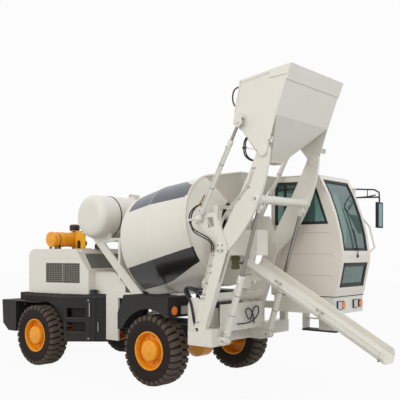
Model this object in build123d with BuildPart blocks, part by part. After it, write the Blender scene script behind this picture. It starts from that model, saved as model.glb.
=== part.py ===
# Self-loading concrete mixer truck, in millimetres.
# +X points forward, +Y to the machine's left and +Z up. Shapes are drawn from the point on the
# ground midway between the axles, and each piece is moved at the end so that the origin is
# under the middle of the whole machine.
import os
from math import atan2, cos, hypot, pi, radians, sin, tan

from build123d import *

os.makedirs("parts", exist_ok=True)

# Fits
pivot_gap = 0.3            # radial room of a pin in its bore
slide_gap = 1.0            # room between a cylinder rod and its gland
running_gap = 6.0          # sideways room between pieces that swing past each other

# Wheels and axles
wheelbase = 3100
tyre_radius = 590
tyre_width = 412
tyre_outer_y = 1343
bead_radius = 305
flange_radius = 321
rim_inset = 25
rim_wall = 18
hub_radius = 150
spindle_radius = 60
kingpin_y = 900
kingpin_radius = 25
axle_radius = 92
banjo_radius = 235
axle_x = wheelbase / 2
axle_z = tyre_radius
wheel_y = tyre_outer_y - tyre_width / 2

# Chassis
rail_inner_y = 350
rail_outer_y = 450
rail_bottom_z = 720
rail_top_z = 950
rail_rear_x = -2200
rail_front_x = 2350
front_beam_depth = 210
front_beam_bottom_z = 760
front_beam_top_z = 980

# Rear body
deck_top_z = 1400
deck_thick = 20
deck_rear_x = -2200
deck_corner_x = -930
deck_front_x = -250
deck_half_width = 1120
deck_front_half = 560
hood_rear_x = -2050
hood_front_x = -600
hood_top_front_x = -900
hood_rear_half = 1090
hood_front_half = 760
hood_top_z = 2280
hood_shelf_z = 1850
hood_skin = 12
bumper_rear_x = -2680
bumper_front_x = -2200
bumper_half = 1300
bumper_bottom_z = 620
bumper_top_z = 1240
arch_radius = 655
sheet = 12

# Mixer
drum_axis_x = 1187         # the rear seam's centre
drum_axis_z = 2450
drum_tilt = 10.4
drum_rear_radius = 972
drum_seam_radius = 1011
drum_ring_radius = 952
drum_mouth_radius = 440
drum_wall = 10
drum_rear_s = -662         # distances along the axis, from the rear seam
drum_head_s = -850
drum_ring_s = 927
drum_mouth_s = 1220
tank_x = -380
tank_z = 2890
tank_radius = 405
tank_half = 950
tank_dome = 150

# Cab
cab_inner_y = 420
cab_outer_y = 1420
cab_wall = 40
cab_floor_z = 1500
cab_skirt_z = 1210
mirror_outer_y = 1720

# Loader
loader_y = -475            # the loader's own middle plane
arm_inner = 675            # distances from that plane
arm_outer = 725
pivot_x, pivot_z = 2965, 2279
tip_x, tip_z = 3731, 3672
level_dx, level_dz = -375, 455   # from each arm pin to its tilt-cylinder pin
lift_offset = 590
lift_base_x, lift_base_z = 2947, 852
lift_top_x, lift_top_z = 3573, 2875
tube_x, tube_z = 3592, 2995
tube_radius = 65
arm_pin_radius = 45
tip_pin_radius = 40
tilt_pin_radius = 28
tilt_offset = 796
tilt_barrel_radius = 40
tilt_barrel_length = 1300
tilt_rod_radius = 25
tilt_rod_length = 950
lift_barrel_radius = 52
lift_barrel_length = 1050
lift_rod_radius = 30
lift_rod_length = 1120
plate_out = arm_outer + running_gap      # inner face of the plates outside the arm
horn_plate_thick = 12
bucket_plate_thick = 18
bucket_wall = 12

# Chute
chute_start_x, chute_start_z = 3080, 2130
chute_end_x, chute_end_z = 5300, 862
chute_width = 400
chute_depth = 150
chute_wall = 8
chute_pivot_x = 2985

# The machine's reach, which sets where the origin is
hitch_rear_x = -2790
origin_x = (chute_end_x + hitch_rear_x) / 2
origin_y = (mirror_outer_y - tyre_outer_y) / 2
datum = Location((-origin_x, -origin_y, 0))


def finish(piece, label):
    """Move a finished piece to the machine's origin, label it and write it."""
    piece.part = piece.part.moved(datum)
    piece.part.label = label
    export_step(piece.part, f"parts/{label}.step")


def span(side, near, far):
    """Two distances to one side, as a low and a high value."""
    return sorted((side * near, side * far))


def beside(side, near, far):
    """Two distances from the loader's middle plane, as a low and a high Y."""
    return sorted((loader_y + side * near, loader_y + side * far))


def block(x_low, x_high, y_low, y_high, z_low, z_high, mode=Mode.ADD):
    """A block between two corners."""
    with Locations(((x_low + x_high) / 2, (y_low + y_high) / 2, (z_low + z_high) / 2)):
        Box(x_high - x_low, y_high - y_low, z_high - z_low, mode=mode)


def plate(points, y_low, y_high, mode=Mode.ADD):
    """A side outline (x, z) given a thickness in Y."""
    with BuildSketch(Plane.XZ.offset(-y_high)) as outline:
        with BuildLine():
            Polyline(*points, close=True)
        make_face()
    extrude(outline.sketch, amount=y_high - y_low, mode=mode)


def slab(points, z_low, z_high, mode=Mode.ADD):
    """A plan outline (x, y) given a height."""
    with BuildSketch(Plane.XY.offset(z_low)) as outline:
        with BuildLine():
            Polyline(*points, close=True)
        make_face()
    extrude(outline.sketch, amount=z_high - z_low, mode=mode)


def rod(start, end, radius, mode=Mode.ADD):
    """A round bar between two points."""
    start, end = Vector(start), Vector(end)
    with BuildSketch(Plane(origin=start, z_dir=end - start)) as section:
        Circle(radius)
    extrude(section.sketch, amount=(end - start).length, mode=mode)


def cross_rod(x, z, y_low, y_high, radius, mode=Mode.ADD):
    """A round bar along Y."""
    rod((x, y_low, z), (x, y_high, z), radius, mode)


# Chassis frame: two rails, their cross members and the risers under the deck
with BuildPart() as chassis_frame:
    for side in (-1, 1):
        y_low, y_high = span(side, rail_inner_y, rail_outer_y)
        block(rail_rear_x, rail_front_x, y_low, y_high, rail_bottom_z, rail_top_z)
        for x in (-2000, -650, -320):
            block(x - 40, x + 40, y_low, y_high, rail_top_z, deck_top_z - deck_thick)
    for x in (-2150, -650, 700, 2250):
        block(x - 50, x + 50, -rail_inner_y, rail_inner_y, rail_bottom_z + 30, rail_top_z - 30)
finish(chassis_frame, "chassis_frame")

# Front frame: the beam across the nose, the mast feet, the cab bearers and the front apron
foot_near, foot_far = 560, 780           # from the loader's middle plane
foot_front_x = 2830
front_beam_x = rail_front_x + front_beam_depth
bearer_y = (520, 1290)
bearer_half = 50
bearer_bottom_z = 1250
bearer_top_z = 1370
cheek_gap = 42
cheek_thick = 14
apron_bottom_z = 970
apron_top_z = 1400
with BuildPart() as front_frame:
    block(rail_front_x, front_beam_x, loader_y - foot_far, cab_outer_y - 60,
          front_beam_bottom_z, front_beam_top_z)
    for side in (-1, 1):
        y_low, y_high = beside(side, foot_near, foot_far)
        block(front_beam_x, foot_front_x, y_low, y_high, front_beam_bottom_z, 1030)
        for edge in (-1, 1):
            cheek = sorted((lift_offset + edge * cheek_gap, lift_offset + edge * (cheek_gap + cheek_thick)))
            y_low, y_high = beside(side, *cheek)
            block(foot_front_x, lift_base_x, y_low, y_high, lift_base_z - 65, lift_base_z + 65)
            cross_rod(lift_base_x, lift_base_z, y_low, y_high, 65)
        y_low, y_high = beside(side, lift_offset - cheek_gap - cheek_thick,
                               lift_offset + cheek_gap + cheek_thick)
        cross_rod(lift_base_x, lift_base_z, y_low, y_high, 30)
    block(foot_front_x - 16, foot_front_x, loader_y - foot_near, loader_y + foot_near,
          apron_bottom_z, apron_top_z)
    for y in bearer_y:
        block(front_beam_x - 120, front_beam_x, y - bearer_half, y + bearer_half,
              front_beam_top_z, bearer_top_z)
        block(front_beam_x, 3850, y - bearer_half, y + bearer_half, bearer_bottom_z, bearer_top_z)
finish(front_frame, "front_frame")

# Axles: a beam with a banjo in the middle and pads that reach the rails
def axle_beam(x, half_length):
    """Beam, banjo housing and rail pads of one axle."""
    with BuildSketch(Plane.XY.offset(axle_z)) as section:
        with BuildLine():
            Polyline((x, -half_length), (x + axle_radius, -half_length), (x + axle_radius, -330),
                     (x + banjo_radius, -120), (x + banjo_radius, 120), (x + axle_radius, 330),
                     (x + axle_radius, half_length), (x, half_length), close=True)
        make_face()
    revolve(section.sketch, axis=Axis((x, 0, axle_z), (0, 1, 0)))
    for side in (-1, 1):
        y_low, y_high = span(side, rail_inner_y, rail_outer_y)
        block(x - 90, x + 90, y_low, y_high, axle_z + 60, rail_bottom_z)


beam_end = 1010
eye_radius = 72
eye_half = 68
spindle_end = wheel_y + 60
with BuildPart() as rear_axle:
    axle_beam(-axle_x, beam_end)
    for side in (-1, 1):
        cross_rod(-axle_x, axle_z, *span(side, beam_end, spindle_end), spindle_radius)
finish(rear_axle, "rear_axle")

with BuildPart() as front_axle:
    axle_beam(axle_x, kingpin_y - 78)
    for side in (-1, 1):
        cross_rod(axle_x, axle_z, *span(side, kingpin_y - 78, kingpin_y), 60)
        rod((axle_x, side * kingpin_y, axle_z - eye_half), (axle_x, side * kingpin_y, axle_z + eye_half),
            eye_radius)
        rod((axle_x, side * kingpin_y, axle_z - eye_half), (axle_x, side * kingpin_y, axle_z + eye_half),
            kingpin_radius + pivot_gap, Mode.SUBTRACT)
finish(front_axle, "front_axle")

# Steering knuckles: a yoke above and below the axle eye, its kingpin and the wheel spindle
lug_thick = 34
for side, label in ((-1, "knuckle_right"), (1, "knuckle_left")):
    with BuildPart() as knuckle:
        for edge in (-1, 1):
            z_low, z_high = span(edge, eye_half + pivot_gap, eye_half + lug_thick)
            rod((axle_x, side * kingpin_y, axle_z + z_low), (axle_x, side * kingpin_y, axle_z + z_high), 74)
            block(axle_x - 60, axle_x + 60, *span(side, kingpin_y, beam_end - 4),
                  axle_z + z_low, axle_z + z_high)
        block(axle_x - 75, axle_x + 75, *span(side, kingpin_y + 80, beam_end),
              axle_z - eye_half - lug_thick, axle_z + eye_half + lug_thick)
        rod((axle_x, side * kingpin_y, axle_z - eye_half - lug_thick),
            (axle_x, side * kingpin_y, axle_z + eye_half + lug_thick), kingpin_radius)
        cross_rod(axle_x, axle_z, *span(side, beam_end, spindle_end), spindle_radius)
    finish(knuckle, label)

# Wheels: columns are the corner's name, the axle's x and the side
corners = [
    ("front_left", axle_x, 1),
    ("front_right", axle_x, -1),
    ("rear_left", -axle_x, 1),
    ("rear_right", -axle_x, -1),
]
rim_outer = tyre_outer_y - rim_inset
rim_inner = tyre_outer_y - tyre_width + rim_inset
flange = 14
disc_y = wheel_y + 40


def wheel_section(side, points, x):
    """Revolve a wheel section of (radius, y) points about the spindle."""
    with BuildSketch(Plane.XY.offset(axle_z)) as section:
        with BuildLine():
            Polyline(*[(x + radius, side * y) for radius, y in points], close=True)
        make_face()
    revolve(section.sketch, axis=Axis((x, 0, axle_z), (0, 1, 0)))


for corner, x, side in corners:
    with BuildPart() as rim:
        wheel_section(side, [
            (flange_radius, rim_inner), (flange_radius, rim_inner + flange),
            (bead_radius, rim_inner + flange), (bead_radius, rim_outer - flange),
            (flange_radius, rim_outer - flange), (flange_radius, rim_outer),
            (bead_radius - 4, rim_outer), (bead_radius - rim_wall, rim_outer - 60),
            (bead_radius - rim_wall, disc_y + 12), (hub_radius + 20, disc_y + 12),
            (hub_radius, disc_y + 30), (hub_radius - 8, disc_y + 90),
            (hub_radius - 40, disc_y + 104), (0, disc_y + 104),
            (0, spindle_end + pivot_gap), (spindle_radius + pivot_gap, spindle_end + pivot_gap),
            (spindle_radius + pivot_gap, beam_end + running_gap),
            (hub_radius - 30, beam_end + running_gap),
            (hub_radius - 30, disc_y - 8), (bead_radius - rim_wall, disc_y - 8),
            (bead_radius - rim_wall, rim_inner + 30), (bead_radius - 4, rim_inner)], x)
    finish(rim, f"rim_{corner}")

    half = tyre_width / 2
    with BuildPart() as tyre:
        wheel_section(side, [(radius, wheel_y + across) for radius, across in [
            (bead_radius + pivot_gap, rim_inner + flange + pivot_gap - wheel_y),
            (flange_radius + 6, rim_inner + flange + pivot_gap - wheel_y),
            (flange_radius + 22, 14 - half), (450, -half), (tyre_radius - 40, 8 - half),
            (tyre_radius, 46 - half), (tyre_radius, half - 46),
            (tyre_radius - 40, half - 8), (450, half), (flange_radius + 22, half - 14),
            (flange_radius + 6, rim_outer - flange - pivot_gap - wheel_y),
            (bead_radius + pivot_gap, rim_outer - flange - pivot_gap - wheel_y)]], x)
    finish(tyre, f"tyre_{corner}")

# Fenders over the front wheels: a boxed arch, open below
fender_front_x = 2000
fender_rear_x = 830
fender_top_z = 1490
fender_inner_y = 820
fender_outer_y = 1340
fender_outline = [
    (fender_rear_x, 900), (fender_rear_x, 1180), (980, fender_top_z),
    (fender_front_x, fender_top_z), (fender_front_x, 1160), (fender_front_x - 40, 1160),
    (fender_rear_x + 40, 900)]
with BuildPart() as front_fenders:
    for side in (-1, 1):
        y_low, y_high = span(side, fender_inner_y, fender_outer_y)
        plate(fender_outline, y_low, y_high)
        in_low, in_high = span(side, fender_inner_y - 5, fender_outer_y - sheet)
        plate([(fender_rear_x + sheet, 800), (fender_rear_x + sheet, 1180),
               (980 + sheet, fender_top_z - sheet), (fender_front_x - sheet, fender_top_z - sheet),
               (fender_front_x - sheet, 800)], in_low, in_high, Mode.SUBTRACT)
        cross_rod(axle_x, axle_z, y_low - 5, y_high + 5, 690, Mode.SUBTRACT)
        s_low, s_high = span(side, rail_outer_y, fender_inner_y)
        block(fender_rear_x + 300, fender_rear_x + 360, s_low, s_high, fender_top_z - 60, fender_top_z - 15)
        block(fender_rear_x + 300, fender_rear_x + 360, *span(side, rail_outer_y - 60, rail_outer_y),
              rail_top_z, fender_top_z - 15)
        block(fender_rear_x + 300, fender_rear_x + 360, *span(side, fender_inner_y, fender_outer_y - sheet),
              fender_top_z - 60, fender_top_z - sheet)
finish(front_fenders, "front_fenders")

# Lamps: round amber and square white, on the fenders and on the cab's skirt
lamp_depth = 25
lamp_z = 1272
cab_nose_x = 4000
with BuildPart() as head_lamps:
    for side in (-1, 1):
        block(fender_front_x, fender_front_x + lamp_depth, *span(side, 850, 1050), lamp_z - 70, lamp_z + 70)
    for y in (cab_inner_y + 150, cab_outer_y - 300):
        block(cab_nose_x, cab_nose_x + lamp_depth, y - 70, y + 70, 1290, 1420)
finish(head_lamps, "head_lamps")

with BuildPart() as indicator_lamps:
    for side in (-1, 1):
        rod((fender_front_x, side * 1205, lamp_z), (fender_front_x + lamp_depth, side * 1205, lamp_z), 70)
    rod((cab_nose_x, cab_outer_y - 120, 1355), (cab_nose_x + lamp_depth, cab_outer_y - 120, 1355), 58)
finish(indicator_lamps, "indicator_lamps")

# Deck: a plate with a turned-down edge, cut out over the engine
deck_plan = [
    (deck_rear_x, -deck_half_width), (deck_corner_x, -deck_half_width),
    (deck_front_x, -deck_front_half), (deck_front_x, deck_front_half),
    (deck_corner_x, deck_half_width), (deck_rear_x, deck_half_width)]
engine_rear_x, engine_front_x = -1850, -750
engine_half = 400
with BuildPart() as deck:
    slab(deck_plan, deck_top_z - 60, deck_top_z)
    slab([(x + (14 if x < -1000 else -14), y * 0.985) for x, y in deck_plan],
         deck_top_z - 61, deck_top_z - deck_thick, Mode.SUBTRACT)
    block(engine_rear_x - 20, engine_front_x + 20, -engine_half - 20, engine_half + 20,
          deck_top_z - 61, deck_top_z + 1, Mode.SUBTRACT)
finish(deck, "deck")

with BuildPart() as engine_block:
    block(engine_rear_x, engine_front_x, -engine_half, engine_half, rail_top_z, 1950)
finish(engine_block, "engine_block")


# Engine hood: tapered in plan, with a sloping front, hollow and open below
def hood_body(inset, bottom_z, mode=Mode.ADD):
    """The hood's outer form, or its inside when inset by the skin."""
    with BuildSketch(Plane.XY.offset(bottom_z)) as plan:
        with BuildLine():
            Polyline((hood_rear_x + inset, -hood_rear_half + inset),
                     (hood_front_x - inset, -hood_front_half + inset),
                     (hood_front_x - inset, hood_front_half - inset),
                     (hood_rear_x + inset, hood_rear_half - inset), close=True)
        make_face()
    extrude(plan.sketch, amount=hood_top_z - inset - bottom_z, mode=mode)


def hood_shape():
    """The finished outside of the hood, with its sloping front and rounded rear top edge."""
    with BuildPart() as outside:
        hood_body(0, deck_top_z)
        plate([(hood_front_x + 5, hood_shelf_z), (hood_front_x - 8, hood_shelf_z),
               (hood_top_front_x, hood_top_z), (hood_top_front_x, hood_top_z + 5),
               (hood_front_x + 5, hood_top_z + 5)],
              -hood_rear_half, hood_rear_half, Mode.SUBTRACT)
        fillet(outside.edges().filter_by(Axis.Y).group_by(Axis.Z)[-1].sort_by(Axis.X)[0], 160)
    return outside.part


def hood_inside():
    """The room inside the hood."""
    with BuildPart() as inside:
        hood_body(hood_skin, deck_top_z - 1)
        plate([(hood_front_x + 5, hood_shelf_z - hood_skin),
               (hood_front_x - hood_skin - 8, hood_shelf_z - hood_skin),
               (hood_top_front_x - hood_skin, hood_top_z - hood_skin),
               (hood_top_front_x - hood_skin, hood_top_z + 5),
               (hood_front_x + 5, hood_top_z + 5)],
              -hood_rear_half, hood_rear_half, Mode.SUBTRACT)
        fillet(inside.edges().filter_by(Axis.Y).group_by(Axis.Z)[-1].sort_by(Axis.X)[0], 160 - hood_skin)
    return inside.part


grille_x = (-1624, -805)
grille_z = (1610, 2000)
with BuildPart() as engine_hood:
    add(hood_shape())
    add(hood_inside(), mode=Mode.SUBTRACT)
    block(grille_x[0], grille_x[1], -hood_rear_half - 5, hood_rear_half + 5, grille_z[0], grille_z[1],
          Mode.SUBTRACT)
finish(engine_hood, "engine_hood")

# Bumper across the rear, with the wheel arches cut into its sides
with BuildPart() as rear_bumper:
    plate([(bumper_rear_x, bumper_top_z), (bumper_front_x, bumper_top_z), (bumper_front_x, bumper_bottom_z),
           (bumper_rear_x + 220, bumper_bottom_z), (bumper_rear_x + 30, bumper_bottom_z + 140)],
          -bumper_half, bumper_half)
    cross_rod(-axle_x, axle_z, -bumper_half - 5, -rail_outer_y - 200, arch_radius, Mode.SUBTRACT)
    cross_rod(-axle_x, axle_z, rail_outer_y + 200, bumper_half + 5, arch_radius, Mode.SUBTRACT)
    block(bumper_rear_x + 140, bumper_front_x, -950, 950, bumper_top_z, deck_top_z - 20)
finish(rear_bumper, "rear_bumper")

# Tow hitch: two ears with an upright pin hole
hitch_pin_radius = 25
hitch_half = 90
hitch_z = 820
hitch_gap = 45
hitch_thick = 35
hitch_pin_x = hitch_rear_x + 60
with BuildPart() as tow_hitch:
    for edge in (-1, 1):
        z_low, z_high = span(edge, hitch_gap, hitch_gap + hitch_thick)
        block(hitch_rear_x, bumper_rear_x + 60, -hitch_half, hitch_half, hitch_z + z_low, hitch_z + z_high)
    block(bumper_rear_x - 14, bumper_rear_x + 60, -hitch_half - 30, hitch_half + 30,
          hitch_z - 110, hitch_z + 110)
    rod((hitch_pin_x, 0, hitch_z - 120), (hitch_pin_x, 0, hitch_z + 120), hitch_pin_radius, Mode.SUBTRACT)
    plate([(bumper_rear_x, bumper_top_z), (bumper_front_x, bumper_top_z), (bumper_front_x, bumper_bottom_z),
           (bumper_rear_x + 220, bumper_bottom_z), (bumper_rear_x + 30, bumper_bottom_z + 140)],
          -bumper_half, bumper_half, Mode.SUBTRACT)
finish(tow_hitch, "tow_hitch")

# Rear fenders: a plate over each rear wheel and a skirt in front of it, with the arch cut
with BuildPart() as rear_fenders:
    for side in (-1, 1):
        y_low, y_high = span(side, 900, 1300)
        block(bumper_front_x, -1450, y_low, y_high, bumper_top_z - 12, bumper_top_z)
        y_low, y_high = span(side, 1088, 1100)
        plate([(-2150, bumper_top_z), (-2150, deck_top_z - 60), (deck_corner_x, deck_top_z - 60),
               (deck_corner_x, 560), (deck_corner_x - 30, 560), (-1450, bumper_top_z)], y_low, y_high)
        cross_rod(-axle_x, axle_z, y_low - 5, y_high + 5, arch_radius, Mode.SUBTRACT)
finish(rear_fenders, "rear_fenders")

# Side boxes under the deck, behind the steps: plan outline follows the deck's cut corner
box_bottom_z = 500
box_top_z = deck_top_z - 60
box_rear_x = deck_corner_x + 2
box_side_y = 1100
box_front_x = -262
box_front_y = 552
skew_run = hypot(box_front_x - box_rear_x, box_side_y - box_front_y)
step_from, step_to, step_depth = 60, 420, 150     # along the cut corner, and into the box
step_z = ((690, 880), (960, 1150))
door_from, door_to = 617, 843
door_depth = 25
door_edge = 5
box_hinge_s = door_to + door_edge
box_hinge_out = 8
box_hinge_z = (640, 1140)
knuckle_high = 58


def on_corner(side, along, inward):
    """A plan point on a side box's cut corner, by distance along it and into the box."""
    run_x = (box_front_x - box_rear_x) / skew_run
    run_y = (box_side_y - box_front_y) / skew_run
    return (box_rear_x + along * run_x - inward * run_y,
            side * (box_side_y - along * run_y - inward * run_x))


def corner_slab(side, along, inward, z_low, z_high, mode=Mode.ADD):
    """A block that lies along the cut corner."""
    slab([on_corner(side, along[0], inward[0]), on_corner(side, along[1], inward[0]),
          on_corner(side, along[1], inward[1]), on_corner(side, along[0], inward[1])], z_low, z_high, mode)


hinge_axis = on_corner(-1, box_hinge_s, -box_hinge_out)
for side, label in ((-1, "side_box_right"), (1, "side_box_left")):
    with BuildPart() as side_box:
        slab([(box_rear_x, side * box_side_y), (box_front_x, side * box_front_y),
              (box_front_x, side * (rail_outer_y + 2)), (box_rear_x, side * (rail_outer_y + 2))],
             box_bottom_z, box_top_z)
        for z_low, z_high in step_z:
            corner_slab(side, (step_from, step_to), (-5, step_depth), z_low, z_high, Mode.SUBTRACT)
        if side < 0:
            corner_slab(side, (door_from - door_edge, door_to + door_edge), (-5, door_depth + 8),
                        box_bottom_z + 15, box_top_z - 5, Mode.SUBTRACT)
            for z in box_hinge_z:
                for z_low in (z - 12, z + knuckle_high + 1):
                    corner_slab(side, (box_hinge_s - 9, box_hinge_s + 13), (-17, 0), z_low, z_low + 11)
                rod((*hinge_axis, z - 5), (*hinge_axis, z + knuckle_high + 5), 5)
    finish(side_box, label)

with BuildPart() as side_box_door:
    corner_slab(-1, (door_from, door_to), (3, 3 + door_depth), box_bottom_z + 20, box_top_z - 10)
    for z in box_hinge_z:
        corner_slab(-1, (door_to - 50, box_hinge_s), (-box_hinge_out - 4, -box_hinge_out + 2),
                    z, z + knuckle_high)
        corner_slab(-1, (door_to - 50, door_to - 12), (-box_hinge_out - 4, 4), z, z + knuckle_high)
        rod((*hinge_axis, z), (*hinge_axis, z + knuckle_high), 8)
        rod((*hinge_axis, z - 1), (*hinge_axis, z + knuckle_high + 1), 5 + pivot_gap, Mode.SUBTRACT)
finish(side_box_door, "side_box_door")

# Air cleaner across the hood, with its rain cap
cleaner_x, cleaner_z, cleaner_radius = -1550, 2470, 145
with BuildPart() as air_cleaner:
    cross_rod(cleaner_x, cleaner_z, -920, -200, cleaner_radius)
    cross_rod(cleaner_x, cleaner_z, -660, -640, cleaner_radius + 8)
    cross_rod(cleaner_x, cleaner_z, -420, -400, cleaner_radius + 8)
    rod((cleaner_x, -320, cleaner_z), (cleaner_x, -320, 2650), 45)
    rod((cleaner_x, -320, 2650), (cleaner_x, -320, 2780), 95)
    for y in (-760, -300):
        block(cleaner_x - 60, cleaner_x + 60, y - 15, y + 15, hood_top_z, cleaner_z - 60)
finish(air_cleaner, "air_cleaner")

exhaust_x, exhaust_y = -1020, -120
with BuildPart() as exhaust:
    rod((exhaust_x, exhaust_y, hood_top_z), (exhaust_x, exhaust_y, hood_top_z + 170), 60)
    rod((exhaust_x, exhaust_y, hood_top_z + 170), (exhaust_x, exhaust_y, hood_top_z + 250), 85)
finish(exhaust, "exhaust")

# Water tank across the frame, with domed ends
with BuildPart() as water_tank:
    with BuildSketch(Plane.XY.offset(tank_z)) as tank_section:
        with BuildLine():
            straight = tank_half - tank_dome
            Line((tank_x, tank_half), (tank_x, -tank_half))
            Spline((tank_x, -tank_half), (tank_x + tank_radius, -straight), tangents=((1, 0), (0, 1)))
            Line((tank_x + tank_radius, -straight), (tank_x + tank_radius, straight))
            Spline((tank_x + tank_radius, straight), (tank_x, tank_half), tangents=((0, 1), (-1, 0)))
        make_face()
    revolve(tank_section.sketch, axis=Axis((tank_x, 0, tank_z), (0, 1, 0)))
finish(water_tank, "water_tank")

# Drum pedestal: sloping side struts, posts down to the rails and the gearbox bulkhead
pedestal_y = (600, 640)
bulkhead_x = (100, 160)
saddle_top_z = 2620
with BuildPart() as drum_pedestal:
    for side in (-1, 1):
        y_low, y_high = span(side, *pedestal_y)
        plate([(-620, 2480), (-400, 2480), (750, 1450), (750, deck_top_z - 40), (560, deck_top_z - 40)],
              y_low, y_high)
        plate([(-230, 560), (100, 560), (100, deck_top_z - 40), (700, deck_top_z - 40), (600, 1470),
               (-60, 1470),
               (-230, deck_top_z)], y_low, y_high)
        plate([(-300, 2380), (bulkhead_x[0], 2440), (bulkhead_x[0], 1700), (bulkhead_x[1], 1700),
               (bulkhead_x[1], 2480), (-400, 2480)], y_low, y_high)
        block(-200, 60, *span(side, rail_outer_y, pedestal_y[0]), rail_top_z - 60, rail_top_z + 60)
    block(bulkhead_x[0], bulkhead_x[1], -pedestal_y[0], pedestal_y[0], 1700, 2480)
    block(-560, -440, -pedestal_y[0], pedestal_y[0], 2420, 2480)
finish(drum_pedestal, "drum_pedestal")

with BuildPart() as tank_saddles:
    for side in (-1, 1):
        y_low, y_high = span(side, pedestal_y[0] - 20, pedestal_y[1] + 20)
        block(tank_x - 260, tank_x + 260, y_low, y_high, 2480, saddle_top_z)
        cross_rod(tank_x, tank_z, y_low - 5, y_high + 5, tank_radius + pivot_gap, Mode.SUBTRACT)
finish(tank_saddles, "tank_saddles")

# Drum: rear head, cone, cylinder, roller ring and front cone, hollow, with an open mouth
tilt = radians(drum_tilt)


def along_drum(distance, across=0.0, aside=0.0):
    """A point at a distance along the drum's axis and up across it."""
    return (drum_axis_x + distance * cos(tilt) - across * sin(tilt), aside,
            drum_axis_z + distance * sin(tilt) + across * cos(tilt))


drum_plane = Plane(origin=(drum_axis_x, 0, drum_axis_z), x_dir=(cos(tilt), 0, sin(tilt)), z_dir=(0, -1, 0))
drum_axis = Axis((drum_axis_x, 0, drum_axis_z), (cos(tilt), 0, sin(tilt)))
ring_radius = 990
ring_s = (drum_ring_s - 90, drum_ring_s - 10)
with BuildPart() as drum:
    with BuildSketch(drum_plane) as drum_section:
        with BuildLine():
            Polyline((drum_head_s, 0), (drum_head_s, 330), (drum_rear_s, drum_rear_radius),
                     (0, drum_seam_radius), (ring_s[0], drum_ring_radius + 8), (ring_s[0], ring_radius),
                     (ring_s[1], ring_radius), (ring_s[1], drum_ring_radius + 2),
                     (drum_ring_s, drum_ring_radius), (drum_mouth_s, drum_mouth_radius),
                     (drum_mouth_s, drum_mouth_radius - drum_wall),
                     (drum_ring_s - 4, drum_ring_radius - drum_wall),
                     (0, drum_seam_radius - drum_wall), (drum_rear_s + 4, drum_rear_radius - drum_wall),
                     (drum_head_s + drum_wall, 326), (drum_head_s + drum_wall, 0), close=True)
        make_face()
    revolve(drum_section.sketch, axis=drum_axis)
finish(drum, "drum")

gearbox_end_s = drum_head_s - 2
with BuildPart() as drum_gearbox:
    rod(along_drum(gearbox_end_s - 70), along_drum(gearbox_end_s), 190)
    rod(along_drum(gearbox_end_s - 300), along_drum(gearbox_end_s - 70), 120)
    block(bulkhead_x[0] - 100, bulkhead_x[1], -200, 200, 2000, 2480, Mode.SUBTRACT)
finish(drum_gearbox, "drum_gearbox")

# Front roller stand: two rollers under the ring, on a bridge that stands on the rails
roller_radius = 90
roller_angle = 32
roller_s = (drum_ring_s - 100, drum_ring_s)
stand_x = (2120, 2240)
stand_top_z = 1560
with BuildPart() as drum_roller_stand:
    reach = ring_radius + roller_radius + pivot_gap
    for side in (-1, 1):
        aside = side * reach * sin(radians(roller_angle))
        down = -reach * cos(radians(roller_angle))
        rod(along_drum(roller_s[0], down, aside), along_drum(roller_s[1], down, aside), roller_radius)
        rod(along_drum(roller_s[0] - 50, down, aside), along_drum(roller_s[1] + 50, down, aside), 30)
        y_low, y_high = sorted((aside - 60, aside + 60))
        for s in (roller_s[0] - 40, roller_s[1] + 20):
            x, _, z = along_drum(s, down)
            block(x - 5, x + 20, y_low, y_high, stand_top_z - 40, z + 40)
        block(stand_x[0] - 60, stand_x[1] + 60, y_low, y_high, stand_top_z - 80, stand_top_z - 40)
        block(stand_x[0], stand_x[1], *span(side, rail_inner_y, rail_outer_y), rail_top_z, stand_top_z - 80)
    block(stand_x[0], stand_x[1], -640, 640, stand_top_z - 160, stand_top_z - 80)
finish(drum_roller_stand, "drum_roller_stand")


# Hopper that feeds the drum's mouth, and the tray that leads its flow to the chute
def rectangle_on(plane_z, x_low, x_high, y_low, y_high):
    """A horizontal rectangle, as a sketch for a loft."""
    with BuildSketch(Plane.XY.offset(plane_z)) as face:
        with Locations(((x_low + x_high) / 2, (y_low + y_high) / 2)):
            Rectangle(x_high - x_low, y_high - y_low)
    return face.sketch


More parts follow.
